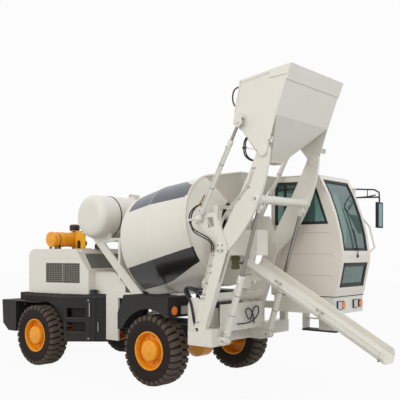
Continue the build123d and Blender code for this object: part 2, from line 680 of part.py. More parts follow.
hopper_top_z = 3440
hopper_neck_z = 3000
hopper_wall = 8
neck_x, neck_y = (2460, 2760), (-280, 120)
hopper_x, hopper_y = (2460, 3180), (-980, 30)
spout_tip_x, spout_tip_z = 2345, hopper_neck_z - 250
leg_x = (2480, 2560)
leg_thick = 32
far_leg_y = -760
with BuildPart() as inlet_hopper:
    loft([rectangle_on(hopper_neck_z, *neck_x, *neck_y),
          rectangle_on(hopper_top_z, *hopper_x, *hopper_y)])
    loft([rectangle_on(hopper_neck_z - 1, neck_x[0] + hopper_wall, neck_x[1] - hopper_wall,
                       neck_y[0] + hopper_wall, neck_y[1] - hopper_wall),
          rectangle_on(hopper_top_z + 1, hopper_x[0] + hopper_wall, hopper_x[1] - hopper_wall,
                       hopper_y[0] + hopper_wall, hopper_y[1] - hopper_wall)], mode=Mode.SUBTRACT)
    spout_side = [(neck_x[1], hopper_neck_z), (neck_x[0], hopper_neck_z),
                  (neck_x[0] - 20, hopper_neck_z - 100), (spout_tip_x, hopper_neck_z - 120),
                  (spout_tip_x, spout_tip_z), (neck_x[1], hopper_neck_z - 20)]
    plate(spout_side, neck_y[0], neck_y[0] + hopper_wall)
    plate(spout_side, neck_y[1] - hopper_wall, neck_y[1])
    plate([(neck_x[1], hopper_neck_z), (neck_x[1] - 2 * hopper_wall, hopper_neck_z),
           (spout_tip_x, spout_tip_z + 12), (spout_tip_x, spout_tip_z),
           (neck_x[1], hopper_neck_z - 20)], *neck_y)
    block(*leg_x, neck_y[1], neck_y[1] + leg_thick, front_beam_top_z, hopper_neck_z - 20)
    block(*leg_x, far_leg_y, far_leg_y + leg_thick, front_beam_top_z, hopper_neck_z - 20)
    block(*leg_x, far_leg_y, neck_y[0], hopper_neck_z - 80, hopper_neck_z - 20)
finish(inlet_hopper, "inlet_hopper")

tray_rear_x, tray_front_x = 2510, 3230
tray_low_y = far_leg_y + leg_thick
with BuildPart() as discharge_funnel:
    for inset, mode in ((0, Mode.ADD), (hopper_wall, Mode.SUBTRACT)):
        with BuildSketch(Plane.XY.offset(2165 + inset)) as tray_floor:
            with BuildLine():
                Polyline((tray_rear_x - inset, tray_low_y + inset),
                         (tray_front_x - inset, loader_y - 145 + inset),
                         (tray_front_x - inset, loader_y + 145 - inset),
                         (tray_rear_x - inset, neck_y[1] - inset), close=True)
            make_face()
        extrude(tray_floor.sketch, amount=400, mode=mode)
    block(3010, 3190, -600, -350, 2160, 2180, Mode.SUBTRACT)
    plate([(tray_rear_x - 10, 2400), (tray_rear_x - 10, 2570), (3000, 2570)], -800, 200, Mode.SUBTRACT)
finish(discharge_funnel, "discharge_funnel")


# Loader masts: on each side two cheeks that hold the arm's pin, the outer with the horn
post_outline = [(2440, 1030), (2660, 1030), (3090, 2240), (3080, 2360), (2965, 2410), (2850, 2330)]
horn_outline = [(2850, 2300), (2480, 2660), (2500, 2760), (2640, 2830), (2870, 2820), (3090, 2330),
                (2965, 2200)]
with BuildPart() as loader_mast:
    for side in (-1, 1):
        plate(post_outline, *beside(side, arm_inner - running_gap - 40, arm_inner - running_gap))
        outer_low, outer_high = beside(side, plate_out, plate_out + horn_plate_thick)
        plate(post_outline, outer_low, outer_high)
        plate(horn_outline, outer_low, outer_high)
        plate([(2440, 1030), (2660, 1030), (2900, 1710), (2760, 2050), (2710, 1850)],
              *beside(side, arm_inner - running_gap, plate_out))
        cross_rod(pivot_x, pivot_z,
                  *beside(side, arm_inner - running_gap - 40, plate_out + horn_plate_thick + 14),
                  arm_pin_radius)
        cross_rod(pivot_x + level_dx, pivot_z + level_dz, outer_low - 5, outer_high + 5,
                  tilt_pin_radius + pivot_gap, Mode.SUBTRACT)
    cross_rod(2690, 1500, *beside(1, -(arm_inner - running_gap - 40), arm_inner - running_gap - 40), 75)
finish(loader_mast, "loader_mast")

# Loader arms: two cranked plates, the tube between them and the lift-cylinder lugs
with BuildPart() as loader_arm:
    for side in (-1, 1):
        y_low, y_high = beside(side, arm_inner, arm_outer)
        with BuildSketch(Plane.XZ.offset(-y_high)) as arm_outline:
            with BuildLine():
                ThreePointArc((pivot_x + 85, pivot_z - 75), (tube_x + 66, tube_z - 5),
                              (tip_x + 105, tip_z + 20))
                ThreePointArc((tip_x + 105, tip_z + 20), (tip_x - 5, tip_z + 106), (tip_x - 106, tip_z + 10))
                ThreePointArc((tip_x - 106, tip_z + 10), (3340, 3120), (pivot_x - 112, pivot_z + 30))
                ThreePointArc((pivot_x - 112, pivot_z + 30), (pivot_x - 30, pivot_z - 112),
                              (pivot_x + 85, pivot_z - 75))
            make_face()
        extrude(arm_outline.sketch, amount=y_high - y_low)
        cross_rod(pivot_x, pivot_z, y_low - 5, y_high + 5, arm_pin_radius + pivot_gap, Mode.SUBTRACT)
        cross_rod(tip_x, tip_z, y_low - 5, y_high + 5, tip_pin_radius + pivot_gap, Mode.SUBTRACT)
        for edge in (-1, 1):
            cheek = sorted((lift_offset + edge * cheek_gap, lift_offset + edge * (cheek_gap + cheek_thick)))
            y_low, y_high = beside(side, *cheek)
            cross_rod(lift_top_x, lift_top_z, y_low, y_high, 62)
            plate([(lift_top_x - 62, lift_top_z), (lift_top_x + 62, lift_top_z), (tube_x + 60, tube_z),
                   (tube_x - 60, tube_z)], y_low, y_high)
            cap = sorted((lift_offset + edge * (cheek_gap + cheek_thick),
                          lift_offset + edge * (cheek_gap + cheek_thick + 8)))
            cross_rod(lift_top_x, lift_top_z, *beside(side, *cap), 32)
    cross_rod(tube_x, tube_z, *beside(1, -arm_inner, arm_inner), tube_radius)
finish(loader_arm, "loader_arm")

# Pins at the arms' tips
with BuildPart() as tip_pins:
    for side in (-1, 1):
        cross_rod(tip_x, tip_z, *beside(side, arm_inner - 20, plate_out + bucket_plate_thick + 6),
                  tip_pin_radius)
        cross_rod(tip_x, tip_z, *beside(side, arm_inner - 20, arm_inner - pivot_gap), tip_pin_radius + 18)
        cross_rod(tip_x, tip_z, *beside(side, plate_out + bucket_plate_thick + pivot_gap,
                                        plate_out + bucket_plate_thick + 10), tip_pin_radius + 18)
finish(tip_pins, "tip_pins")

# Bucket: side plates that run down to the pins, and a hopper body between them. Points are
# measured from the pin at the arm's tip
bucket_half = plate_out
rim_rear = (tip_x - 387, tip_z + 1077)
rim_front = (tip_x + 489, tip_z + 1180)
fold = (tip_x + 232, tip_z + 496)
back_low = (tip_x - 498, tip_z + 629)
back_fold = (tip_x - 486, tip_z + 496)
ear_x, ear_z = tip_x + level_dx, tip_z + level_dz
spout = (tip_x - 390, tip_x - 230, 160, tip_z - 60)   # rear x, front x, half width, bottom z
with BuildPart() as bucket:
    for side in (-1, 1):
        y_low, y_high = beside(side, plate_out, plate_out + bucket_plate_thick)
        plate([rim_rear, rim_front, fold, (tip_x + 120, tip_z + 158), (tip_x + 68, tip_z - 12),
               (tip_x + 30, tip_z - 64), (tip_x - 30, tip_z - 62), (tip_x - 62, tip_z - 25),
               (tip_x - 325, tip_z + 297), (ear_x - 62, ear_z - 60), back_low], y_low, y_high)
        cross_rod(tip_x, tip_z, y_low - 5, y_high + 5, tip_pin_radius + pivot_gap, Mode.SUBTRACT)
    walls = beside(1, -bucket_half, bucket_half)
    plate([rim_rear, rim_front, fold, back_fold, back_low], *walls)
    with BuildSketch(Plane.XY.offset(fold[1])) as funnel_top:
        with Locations(((fold[0] + back_fold[0]) / 2, loader_y)):
            Rectangle(fold[0] - back_fold[0], 2 * bucket_half)
    with BuildSketch(Plane.XY.offset(spout[3])) as funnel_low:
        with Locations(((spout[0] + spout[1]) / 2, loader_y)):
            Rectangle(spout[1] - spout[0], 2 * spout[2])
    loft([funnel_low.sketch, funnel_top.sketch])
    thin = bucket_wall
    plate([(rim_rear[0] + thin, rim_rear[1] + 40), (rim_front[0] - thin, rim_front[1] + 40),
           (rim_front[0] - thin, rim_front[1]), (fold[0] - thin, fold[1]),
           (back_fold[0] + thin, back_fold[1]),
           (back_low[0] + thin, back_low[1]), (rim_rear[0] + thin, rim_rear[1])],
          walls[0] + 2, walls[1] - 2, Mode.SUBTRACT)
    with BuildSketch(Plane.XY.offset(fold[1] + 0.5)) as hollow_top:
        with Locations(((fold[0] + back_fold[0]) / 2, loader_y)):
            Rectangle(fold[0] - back_fold[0] - 2 * thin, 2 * bucket_half - 4)
    with BuildSketch(Plane.XY.offset(spout[3] - 1)) as hollow_low:
        with Locations(((spout[0] + spout[1]) / 2, loader_y)):
            Rectangle(spout[1] - spout[0] - 2 * thin, 2 * (spout[2] - thin))
    loft([hollow_low.sketch, hollow_top.sketch], mode=Mode.SUBTRACT)
    for side in (-1, 1):
        ear_plate = plate_out + bucket_plate_thick
        y_low, y_high = beside(side, tilt_offset + 32, tilt_offset + 46)
        cross_rod(ear_x, ear_z, y_low, y_high, 74)
        plate([(ear_x - 74, ear_z), (ear_x + 74, ear_z), (ear_x + 60, ear_z + 120),
               (ear_x - 40, ear_z + 120)],
              y_low, y_high)
        plate([(ear_x - 66, ear_z + 60), (ear_x + 66, ear_z + 60), (ear_x + 60, ear_z + 120),
               (ear_x - 40, ear_z + 120)], *beside(side, ear_plate, tilt_offset + 46))
        cross_rod(ear_x, ear_z, *beside(side, tilt_offset + 46, tilt_offset + 56), 34)
finish(bucket, "bucket")

gate_hinge_x, gate_hinge_z = spout[0] - 14, spout[3] - 14
with BuildPart() as bucket_gate:
    block(spout[0] - 4, spout[1] + 6, loader_y - spout[2] - 6, loader_y + spout[2] + 6,
          spout[3] - 15, spout[3] - 0.5)
    cross_rod(gate_hinge_x, gate_hinge_z, loader_y - spout[2] - 6, loader_y + spout[2] + 6, 13)
finish(bucket_gate, "bucket_gate")


# Hydraulic cylinders: barrels turn on their base pins and rods slide out to their eyes
def point_on(base, tip, distance):
    """The (x, z) point at a distance from the base pin towards the tip pin."""
    length = hypot(tip[0] - base[0], tip[1] - base[1])
    return (base[0] + (tip[0] - base[0]) * distance / length,
            base[1] + (tip[1] - base[1]) * distance / length)


def bar_between(base, tip, start, end, y, radius, mode=Mode.ADD):
    """A round bar along a cylinder's axis, between two distances from its base pin."""
    a, b = point_on(base, tip, start), point_on(base, tip, end)
    rod((a[0], y, a[1]), (b[0], y, b[1]), radius, mode)


lift_base, lift_tip = (lift_base_x, lift_base_z), (lift_top_x, lift_top_z)
tilt_base = (pivot_x + level_dx, pivot_z + level_dz)
tilt_tip = (ear_x, ear_z)
lift_length = hypot(lift_tip[0] - lift_base[0], lift_tip[1] - lift_base[1])
tilt_length = hypot(tilt_tip[0] - tilt_base[0], tilt_tip[1] - tilt_base[1])
lift_pin_radius = 30
lift_eye_radius = 50
lift_eye_half = 36
with BuildPart() as lift_barrels:
    for side in (-1, 1):
        y = loader_y + side * lift_offset
        cross_rod(*lift_base, y - lift_eye_half, y + lift_eye_half, 58)
        bar_between(lift_base, lift_tip, 0, 105, y, 34)
        bar_between(lift_base, lift_tip, 100, lift_barrel_length, y, lift_barrel_radius)
        bar_between(lift_base, lift_tip, 112, lift_barrel_length + 1, y, lift_rod_radius + slide_gap,
                    Mode.SUBTRACT)
        cross_rod(*lift_base, y - 60, y + 60, lift_pin_radius + pivot_gap, Mode.SUBTRACT)
finish(lift_barrels, "lift_barrels")

with BuildPart() as lift_rods:
    for side in (-1, 1):
        y = loader_y + side * lift_offset
        bar_between(lift_base, lift_tip, lift_length - lift_rod_length, lift_length, y, lift_rod_radius)
        cross_rod(*lift_tip, y - lift_eye_half, y + lift_eye_half, lift_eye_radius)
finish(lift_rods, "lift_rods")

tilt_eye_half = 24
with BuildPart() as horn_pins:
    for side in (-1, 1):
        cross_rod(*tilt_base, *beside(side, arm_outer - 8, tilt_offset + tilt_eye_half + 16),
                  tilt_pin_radius)
        cross_rod(*tilt_base, *beside(side, arm_outer - 8, plate_out - pivot_gap), tilt_pin_radius + 14)
        cross_rod(*tilt_base,
                  *beside(side, tilt_offset + tilt_eye_half + pivot_gap, tilt_offset + tilt_eye_half + 16),
                  tilt_pin_radius + 14)
finish(horn_pins, "horn_pins")

with BuildPart() as tilt_barrels:
    for side in (-1, 1):
        y = loader_y + side * tilt_offset
        cross_rod(*tilt_base, y - tilt_eye_half, y + tilt_eye_half, 50)
        bar_between(tilt_base, tilt_tip, 0, 95, y, 24)
        bar_between(tilt_base, tilt_tip, 90, tilt_barrel_length, y, tilt_barrel_radius)
        bar_between(tilt_base, tilt_tip, 100, tilt_barrel_length + 1, y, tilt_rod_radius + slide_gap,
                    Mode.SUBTRACT)
        cross_rod(*tilt_base, y - 50, y + 50, tilt_pin_radius + pivot_gap, Mode.SUBTRACT)
finish(tilt_barrels, "tilt_barrels")

with BuildPart() as tilt_rods:
    for side in (-1, 1):
        y = loader_y + side * tilt_offset
        bar_between(tilt_base, tilt_tip, tilt_length - tilt_rod_length, tilt_length, y, tilt_rod_radius)
        cross_rod(*tilt_tip, y - tilt_eye_half, y + tilt_eye_half, 48)
finish(tilt_rods, "tilt_rods")

# Chute: a post with an upright pin, and a trough in three lengths that swings on it
chute_angle = atan2(chute_start_z - chute_end_z, chute_end_x - chute_start_x)
chute_pin_radius = 35
chute_hub_z = (1760, 1860)
with BuildPart() as chute_post:
    block(2770, chute_pivot_x + 50, loader_y - 60, loader_y + 60, 1640, chute_hub_z[0] - pivot_gap)
    rod((chute_pivot_x, loader_y, chute_hub_z[0] - 1), (chute_pivot_x, loader_y, chute_hub_z[1] + 20),
        chute_pin_radius)
    plate([(2690, 1575), (2840, 1575), (2840, 1690), (2770, 1690)], loader_y - 60, loader_y + 60)
    cross_rod(2690, 1500, loader_y - 70, loader_y + 70, 75 + pivot_gap, Mode.SUBTRACT)
finish(chute_post, "chute_post")


def trough(start, end, width, depth):
    """One length of chute between two distances from the trough's head."""
    origin = Vector(chute_start_x + start * cos(chute_angle), loader_y,
                    chute_start_z - start * sin(chute_angle))
    ahead = Vector(cos(chute_angle), 0, -sin(chute_angle))
    half = width / 2
    bevel = chute_wall * tan(pi / 8)
    with BuildSketch(Plane(origin=origin, x_dir=(0, 1, 0), z_dir=ahead)) as section:
        with BuildLine():
            Polyline((-half, 0), (-half, -depth + 70), (-half + 70, -depth), (half - 70, -depth),
                     (half, -depth + 70), (half, 0), (half - chute_wall, 0),
                     (half - chute_wall, -depth + 70 + bevel), (half - 70 - bevel, -depth + chute_wall),
                     (-half + 70 + bevel, -depth + chute_wall), (-half + chute_wall, -depth + 70 + bevel),
                     (-half + chute_wall, 0), close=True)
        make_face()
    extrude(section.sketch, amount=end - start)


chute_run = hypot(chute_end_x - chute_start_x, chute_start_z - chute_end_z)
with BuildPart() as chute:
    trough(0, 700, chute_width + 4 * chute_wall, chute_depth + 2 * chute_wall)
    trough(680, 1500, chute_width + 2 * chute_wall, chute_depth + chute_wall)
    trough(1480, chute_run + 100, chute_width, chute_depth)
    block(chute_end_x, chute_end_x + 300, loader_y - 300, loader_y + 300, 0, 1500, Mode.SUBTRACT)
    rod((chute_pivot_x, loader_y, chute_hub_z[0]), (chute_pivot_x, loader_y, chute_hub_z[1]), 75)
    plate([(chute_pivot_x, chute_hub_z[0]), (3200, chute_hub_z[0]), (3380, 1772), (3060, 1956),
           (chute_pivot_x, chute_hub_z[1])], loader_y - 40, loader_y + 40)
    rod((chute_pivot_x, loader_y, chute_hub_z[0] - 5), (chute_pivot_x, loader_y, chute_hub_z[1] + 60),
        chute_pin_radius + pivot_gap, Mode.SUBTRACT)
finish(chute, "chute")

# Cab: skirt, shell with window openings, glass, door
cab_rear_x = 2800
cab_profile = [(cab_rear_x, cab_floor_z), (cab_rear_x, 3430), (cab_rear_x + 70, 3500), (3719, 3480),
               (3880, 3160), (4000, 2840), (4090, 2500), (4138, 2178), (4131, 2061), (4040, 1600),
               (4010, cab_floor_z)]
window_y = (cab_inner_y + 80, cab_outer_y - 90)


def cab_inset(distance):
    """The cab's side profile moved inwards by a distance."""
    with BuildSketch(Plane.XZ) as outline:
        with BuildLine():
            Polyline(*cab_profile, close=True)
        make_face()
        if distance:
            offset(amount=-distance, kind=Kind.INTERSECTION)
    return outline.sketch


def cab_slice(distance, y_low, y_high, mode=Mode.ADD):
    """The cab's profile, inset, given a width in Y."""
    extrude(cab_inset(distance).moved(Location((0, y_high, 0))), amount=y_high - y_low, mode=mode)


side_window = [(2880, 2675), (3885, 2675), (3670, 3270), (3570, 3370), (2880, 3400)]
door_outline = [(2960, 1560), (3820, 1560), (3820, 2700), (3600, 3340), (2960, 3390)]
door_window = [(3040, 2300), (3740, 2300), (3740, 2680), (3550, 3270), (3040, 3310)]
door_hinge_x, door_hinge_y = 3842, cab_outer_y + 26
door_hinge_z = (1750, 2540)
door_knuckle_high = 70
with BuildPart() as cab_shell:
    cab_slice(0, cab_inner_y, cab_outer_y)
    cab_slice(cab_wall, cab_inner_y + cab_wall, cab_outer_y - cab_wall, Mode.SUBTRACT)
    block(3500, 4300, window_y[0], window_y[1], 2240, 3400, Mode.SUBTRACT)
    block(3900, 4300, window_y[0], window_y[1], 1650, 2040, Mode.SUBTRACT)
    plate(side_window, cab_inner_y - 5, cab_inner_y + cab_wall + 5, Mode.SUBTRACT)
    plate([(2955, 1555), (3825, 1555), (3825, 2701), (3604, 3345), (2955, 3396)],
          cab_outer_y - cab_wall - 5, cab_outer_y + 5, Mode.SUBTRACT)
    block(cab_rear_x - 10, cab_rear_x + cab_wall + 10, window_y[0] + 40, window_y[1] - 40, 2500, 3300,
          Mode.SUBTRACT)
    for z in door_hinge_z:
        for z_low in (z - 17, z + door_knuckle_high + 1):
            block(door_hinge_x - 10, door_hinge_x + 24, cab_outer_y, door_hinge_y + 16, z_low, z_low + 16)
        rod((door_hinge_x, door_hinge_y, z - 5), (door_hinge_x, door_hinge_y, z + door_knuckle_high + 5), 8)
finish(cab_shell, "cab_shell")

glass_thick = 6
glass_in = 14
with BuildPart() as cab_glass:
    cab_slice(glass_in, window_y[0], window_y[1])
    cab_slice(glass_in + glass_thick, window_y[0] - 5, window_y[1] + 5, Mode.SUBTRACT)
    block(3300, 4300, cab_inner_y, cab_outer_y, 2040, 2240, Mode.SUBTRACT)
    block(2700, 4300, cab_inner_y, cab_outer_y, 1400, 1650, Mode.SUBTRACT)
    block(2700, 4300, cab_inner_y, cab_outer_y, 3400, 3600, Mode.SUBTRACT)
    block(2700, 3000, cab_inner_y, cab_outer_y, 3300, 3600, Mode.SUBTRACT)
    block(2700, 3000, cab_inner_y, cab_outer_y, 1400, 2500, Mode.SUBTRACT)
    block(2700, 3000, cab_inner_y, window_y[0] + 40, 1400, 3600, Mode.SUBTRACT)
    block(2700, 3000, window_y[1] - 40, cab_outer_y, 1400, 3600, Mode.SUBTRACT)
    plate(side_window, cab_inner_y + glass_in, cab_inner_y + glass_in + glass_thick)
finish(cab_glass, "cab_glass")

with BuildPart() as cab_door:
    plate(door_outline, cab_outer_y - cab_wall, cab_outer_y)
    plate(door_window, cab_outer_y - cab_wall - 5, cab_outer_y + 5, Mode.SUBTRACT)
    for z in door_hinge_z:
        block(3750, 3808, cab_outer_y, door_hinge_y + 6, z, z + door_knuckle_high)
        block(3750, door_hinge_x, door_hinge_y - 6, door_hinge_y + 6, z, z + door_knuckle_high)
        rod((door_hinge_x, door_hinge_y, z), (door_hinge_x, door_hinge_y, z + door_knuckle_high), 15)
        rod((door_hinge_x, door_hinge_y, z - 1), (door_hinge_x, door_hinge_y, z + door_knuckle_high + 1),
            8 + pivot_gap, Mode.SUBTRACT)
    block(3010, 3120, cab_outer_y, cab_outer_y + 18, 2180, 2215)
    block(3020, 3110, cab_outer_y + 18, cab_outer_y + 40, 2185, 2210)
finish(cab_door, "cab_door")

with BuildPart() as door_glass:
    plate(door_window, cab_outer_y - glass_in - glass_thick, cab_outer_y - glass_in)
finish(door_glass, "door_glass")

with BuildPart() as cab_base:
    block(2860, cab_nose_x, cab_inner_y, cab_outer_y, cab_skirt_z, cab_floor_z)
    block(2860 + sheet, cab_nose_x - sheet, cab_inner_y + sheet, cab_outer_y - sheet, cab_skirt_z - 5,
          bearer_top_z, Mode.SUBTRACT)
    for y in bearer_y:
        block(2850, 2880, y - bearer_half - 2, y + bearer_half + 2, cab_skirt_z - 5, bearer_top_z,
              Mode.SUBTRACT)
finish(cab_base, "cab_base")

with BuildPart() as cab_step:
    for x in (2960, 3590):
        block(x, x + 12, 1180, cab_outer_y - 2, 830, cab_skirt_z)
    block(2960, 3602, 1180, cab_outer_y - 2, 830, 850)
    block(2972, 3590, 1300, cab_outer_y - 2, 1020, 1036)
finish(cab_step, "cab_step")

# Inside the cab: the seat and the steering column with its wheel
seat_y = (cab_inner_y + cab_outer_y) / 2
floor_z = cab_floor_z + cab_wall
with BuildPart() as seat:
    block(3050, 3430, seat_y - 200, seat_y + 200, floor_z, floor_z + 300)
    block(3000, 3500, seat_y - 260, seat_y + 260, floor_z + 300, floor_z + 430)
    plate([(3000, floor_z + 430), (3130, floor_z + 430), (3050, floor_z + 1080), (2930, floor_z + 1080)],
          seat_y - 250, seat_y + 250)
finish(seat, "seat")

column_top = Vector(3640, seat_y, floor_z + 760)
column_foot = Vector(3860, seat_y, floor_z)
with BuildPart() as steering_console:
    block(3790, 3930, seat_y - 120, seat_y + 120, floor_z, floor_z + 120)
    rod(column_foot + Vector(0, 0, 40), column_top, 35)
    with BuildSketch(Plane(origin=column_top, z_dir=column_top - column_foot)) as wheel_disc:
        Circle(210)
        Circle(175, mode=Mode.SUBTRACT)
        Rectangle(370, 36)
    extrude(wheel_disc.sketch, amount=28)
finish(steering_console, "steering_console")

# Mirror on its arm, and the grab rail beside the windscreen
mirror_x, mirror_z = 4230, 2850
with BuildPart() as mirror:
    block(mirror_x - 45, mirror_x, mirror_outer_y - 200, mirror_outer_y, mirror_z - 220, mirror_z + 220)
    stay = [(3790, cab_outer_y - 8, 3150), (3900, cab_outer_y + 60, 3160),
            (mirror_x - 20, mirror_outer_y - 100, 3160), (mirror_x - 20, mirror_outer_y - 100, mirror_z)]
    for start, end in zip(stay, stay[1:]):
        rod(start, end, 14)
        with Locations(start):
            Sphere(14)
    block(3700, 3950, cab_inner_y, cab_outer_y, 3000, 3300, Mode.SUBTRACT)
finish(mirror, "mirror")

with BuildPart() as grab_rail:
    rail_path = [(3990, cab_outer_y, 2800), (4080, cab_outer_y + 90, 2660), (4170, cab_outer_y + 100, 2300),
                 (4090, cab_outer_y, 2180)]
    for start, end in zip(rail_path, rail_path[1:]):
        rod(start, end, 16)
        with Locations(end):
            Sphere(16)
    block(3900, 4300, cab_inner_y, cab_outer_y, 2000, 3000, Mode.SUBTRACT)
finish(grab_rail, "grab_rail")

# Grilles in the hood's sides
with BuildPart() as hood_grilles:
    for side in (-1, 1):
        taper = (hood_rear_half - hood_front_half) / (hood_front_x - hood_rear_x)
        rear_y = hood_rear_half - taper * (grille_x[0] - hood_rear_x) - hood_skin
        front_y = hood_rear_half - taper * (grille_x[1] - hood_rear_x) - hood_skin
        slab([(grille_x[0], side * rear_y), (grille_x[1], side * front_y),
              (grille_x[1], side * (front_y + 8)),
              (grille_x[0], side * (rear_y + 8))], grille_z[0], grille_z[1])
finish(hood_grilles, "hood_grilles")
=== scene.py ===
from math import cos, pi, radians, sin

import bmesh
import bpy
from mathutils import Matrix, Vector


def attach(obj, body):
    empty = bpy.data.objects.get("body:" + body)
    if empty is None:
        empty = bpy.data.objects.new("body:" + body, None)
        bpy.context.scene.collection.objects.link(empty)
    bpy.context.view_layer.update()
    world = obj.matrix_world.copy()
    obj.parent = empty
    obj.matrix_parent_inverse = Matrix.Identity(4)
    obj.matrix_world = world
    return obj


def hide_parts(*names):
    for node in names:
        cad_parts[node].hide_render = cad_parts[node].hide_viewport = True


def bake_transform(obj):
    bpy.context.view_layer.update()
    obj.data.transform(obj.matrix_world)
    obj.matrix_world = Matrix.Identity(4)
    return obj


# Looks of a self-loading concrete mixer truck. Shapes are given in the machine's own
# millimetres, from the point on the ground midway between the axles, as in the CAD source.
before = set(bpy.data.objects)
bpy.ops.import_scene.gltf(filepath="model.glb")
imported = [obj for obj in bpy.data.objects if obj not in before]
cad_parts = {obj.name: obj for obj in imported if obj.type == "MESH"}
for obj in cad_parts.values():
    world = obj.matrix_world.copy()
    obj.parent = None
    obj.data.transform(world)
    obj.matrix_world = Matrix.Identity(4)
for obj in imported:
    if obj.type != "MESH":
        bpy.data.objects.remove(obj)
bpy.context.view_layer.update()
MM = 0.001
DATUM = Vector((1255.0, 188.5, 0.0))
# The drum's axis, and the place on it where the drum's two cones meet
drum_lean = radians(10.4)
drum_axis = (cos(drum_lean), 0.0, sin(drum_lean))
drum_joint = (1187, 0, 2450)


def at(x, y, z):
    """A machine point in millimetres, as metres in the row frame."""
    return (Vector((x, y, z)) - DATUM) * MM


# ---------------------------------------------------------------- finishes
def tint(code):
    """A written sRGB hex colour as linear RGBA."""
    channels = [int(code[i:i + 2], 16) / 255 for i in (0, 2, 4)]
    return tuple(c / 12.92 if c <= 0.04045 else ((c + 0.055) / 1.055) ** 2.4
                 for c in channels) + (1.0,)


def fill(node, sockets):
    """Fill sockets with numbers or link them. A node stands for its first output in use."""
    for name, value in sockets.items():
        if isinstance(value, bpy.types.Node):
            value = next(output for output in value.outputs if output.enabled)
        if isinstance(value, bpy.types.NodeSocket):
            node.id_data.links.new(value, node.inputs[name])
        else:
            node.inputs[name].default_value = value


def put(tree, kind, sockets=None, **settings):
    """Add one node, set its properties and fill its sockets."""
    node = tree.nodes.new(kind)
    for name, value in settings.items():
        setattr(node, name, value)
    fill(node, sockets or {})
    return node


# Numbers of a mix node's colour sockets, because its other sockets have the same names
share, under, over = 0, 6, 7
finish = {}


def blank(name):
    """An empty node material, kept under its name, and its shader, linked to the output."""
    material = bpy.data.materials.new(name)
    finish[name] = material
    material.use_nodes = True
    tree = material.node_tree
    tree.nodes.clear()
    shader = put(tree, "ShaderNodeBsdfPrincipled")
    put(tree, "ShaderNodeOutputMaterial", {"Surface": shader})
    return tree, shader


def enamel(name, colour, patch, roughness, coat, dust, dirt="8A7B66", reach=1.5):
    """Sprayed enamel on steel. Patches of slightly uneven colour about 500 mm wide, fine orange
    peel, and road dust that settles thicker towards the ground."""
    tree, shader = blank(name)
    place = put(tree, "ShaderNodeTexCoord").outputs["Object"]
    uneven = put(tree, "ShaderNodeTexNoise", {"Vector": place, "Scale": 2.0, "Detail": 2.0})
    base = put(tree, "ShaderNodeMix", {share: uneven, under: tint(colour), over: tint(patch)},
               data_type="RGBA")
    height = put(tree, "ShaderNodeSeparateXYZ", {"Vector": place}).outputs["Z"]
    low = put(tree, "ShaderNodeMapRange", {"Value": height, "From Min": reach, "From Max": 0.2,
                                           "To Min": 0.04, "To Max": 1.0})
    speck = put(tree, "ShaderNodeTexNoise", {"Vector": place, "Scale": 14.0, "Detail": 6.0,
                                             "Roughness": 0.65})
    worn = put(tree, "ShaderNodeMapRange", {"Value": speck, "From Min": 0.4, "From Max": 0.75})
    amount = put(tree, "ShaderNodeMath", {0: low, 1: worn}, operation="MULTIPLY")
    amount = put(tree, "ShaderNodeMath", {0: amount, 1: dust}, operation="MULTIPLY")
    matte = put(tree, "ShaderNodeMapRange", {"Value": speck, "To Min": roughness - 0.05,
                                             "To Max": roughness + 0.12})
    # Orange peel has a grain of about 3 mm; it is drawn at 8 mm so that it shows at all.
    peel = put(tree, "ShaderNodeTexNoise", {"Vector": place, "Scale": 125.0, "Detail": 1.0})
    bump = put(tree, "ShaderNodeBump", {"Height": peel, "Strength": 0.05, "Distance": 0.002})
    dusty = put(tree, "ShaderNodeMix", {share: amount, under: base, over: tint(dirt)},
                data_type="RGBA")
    fill(shader, {"Base Color": dusty, "Roughness": matte, "Normal": bump,
                  "Coat Weight": coat, "Coat Roughness": 0.12})
    return tree, shader


def plain(name, colour, other, scale, roughness, metal=0.0, bump=0.1, depth=0.001, detail=4.0):
    """A plain surface: two close colours in a noise of the given scale, with that grain as bump."""
    tree, shader = blank(name)
    place = put(tree, "ShaderNodeTexCoord").outputs["Object"]
    grain = put(tree, "ShaderNodeTexNoise", {"Vector": place, "Scale": scale, "Detail": detail})
    matte = put(tree, "ShaderNodeMapRange", {"Value": grain, "To Min": roughness * 0.8,
                                             "To Max": min(1.0, roughness * 1.25)})
    lift = put(tree, "ShaderNodeBump", {"Height": grain, "Strength": bump, "Distance": depth})
    flecked = put(tree, "ShaderNodeMix", {share: grain, under: tint(colour), over: tint(other)},
                  data_type="RGBA")
    fill(shader, {"Base Color": flecked, "Metallic": metal, "Roughness": matte, "Normal": lift})
    return shader


# Cream-white sprayed enamel: satin gloss, a warm off-white that goes a little grey in patches.
enamel("cream_enamel", "E6E1D7", "DFDACE", 0.32, 0.3, 0.28)
# Charcoal enamel on the bumper, boxes and fenders: nearly black, dustier near the ground.
charcoal = enamel("charcoal_enamel", "262422", "201E1C", 0.55, 0.0, 0.5, "4C443B", 1.6)[1]
charcoal.inputs["Specular IOR Level"].default_value = 0.3
# Orange-yellow enamel on rims, axles and air cleaner: bright, with brown dirt in the low parts.
enamel("orange_enamel", "F8A81E", "F19C16", 0.4, 0.08, 0.22, "8A5A22", 1.0)
# Yellow enamel on the intake bracket.
enamel("yellow_enamel", "F6B921", "EFAE18", 0.36, 0.2, 0.1)
# Natural rubber with carbon black on the tyre's side: dark brown-black, matt, faintly dusty.
sidewall = plain("sidewall_rubber", "1F1815", "29211D", 6.0, 0.8, bump=0.15)
sidewall.inputs["Specular IOR Level"].default_value = 0.25
# The same rubber on the tread, greyed brown by dried earth.
plain("tread_rubber", "3A3028", "5F5144", 7.0, 0.9, bump=0.4, depth=0.003, detail=8.0)
# EPDM window gaskets and edge strips: black, soft sheen.
plain("gasket_rubber", "161514", "201E1D", 30.0, 0.55)
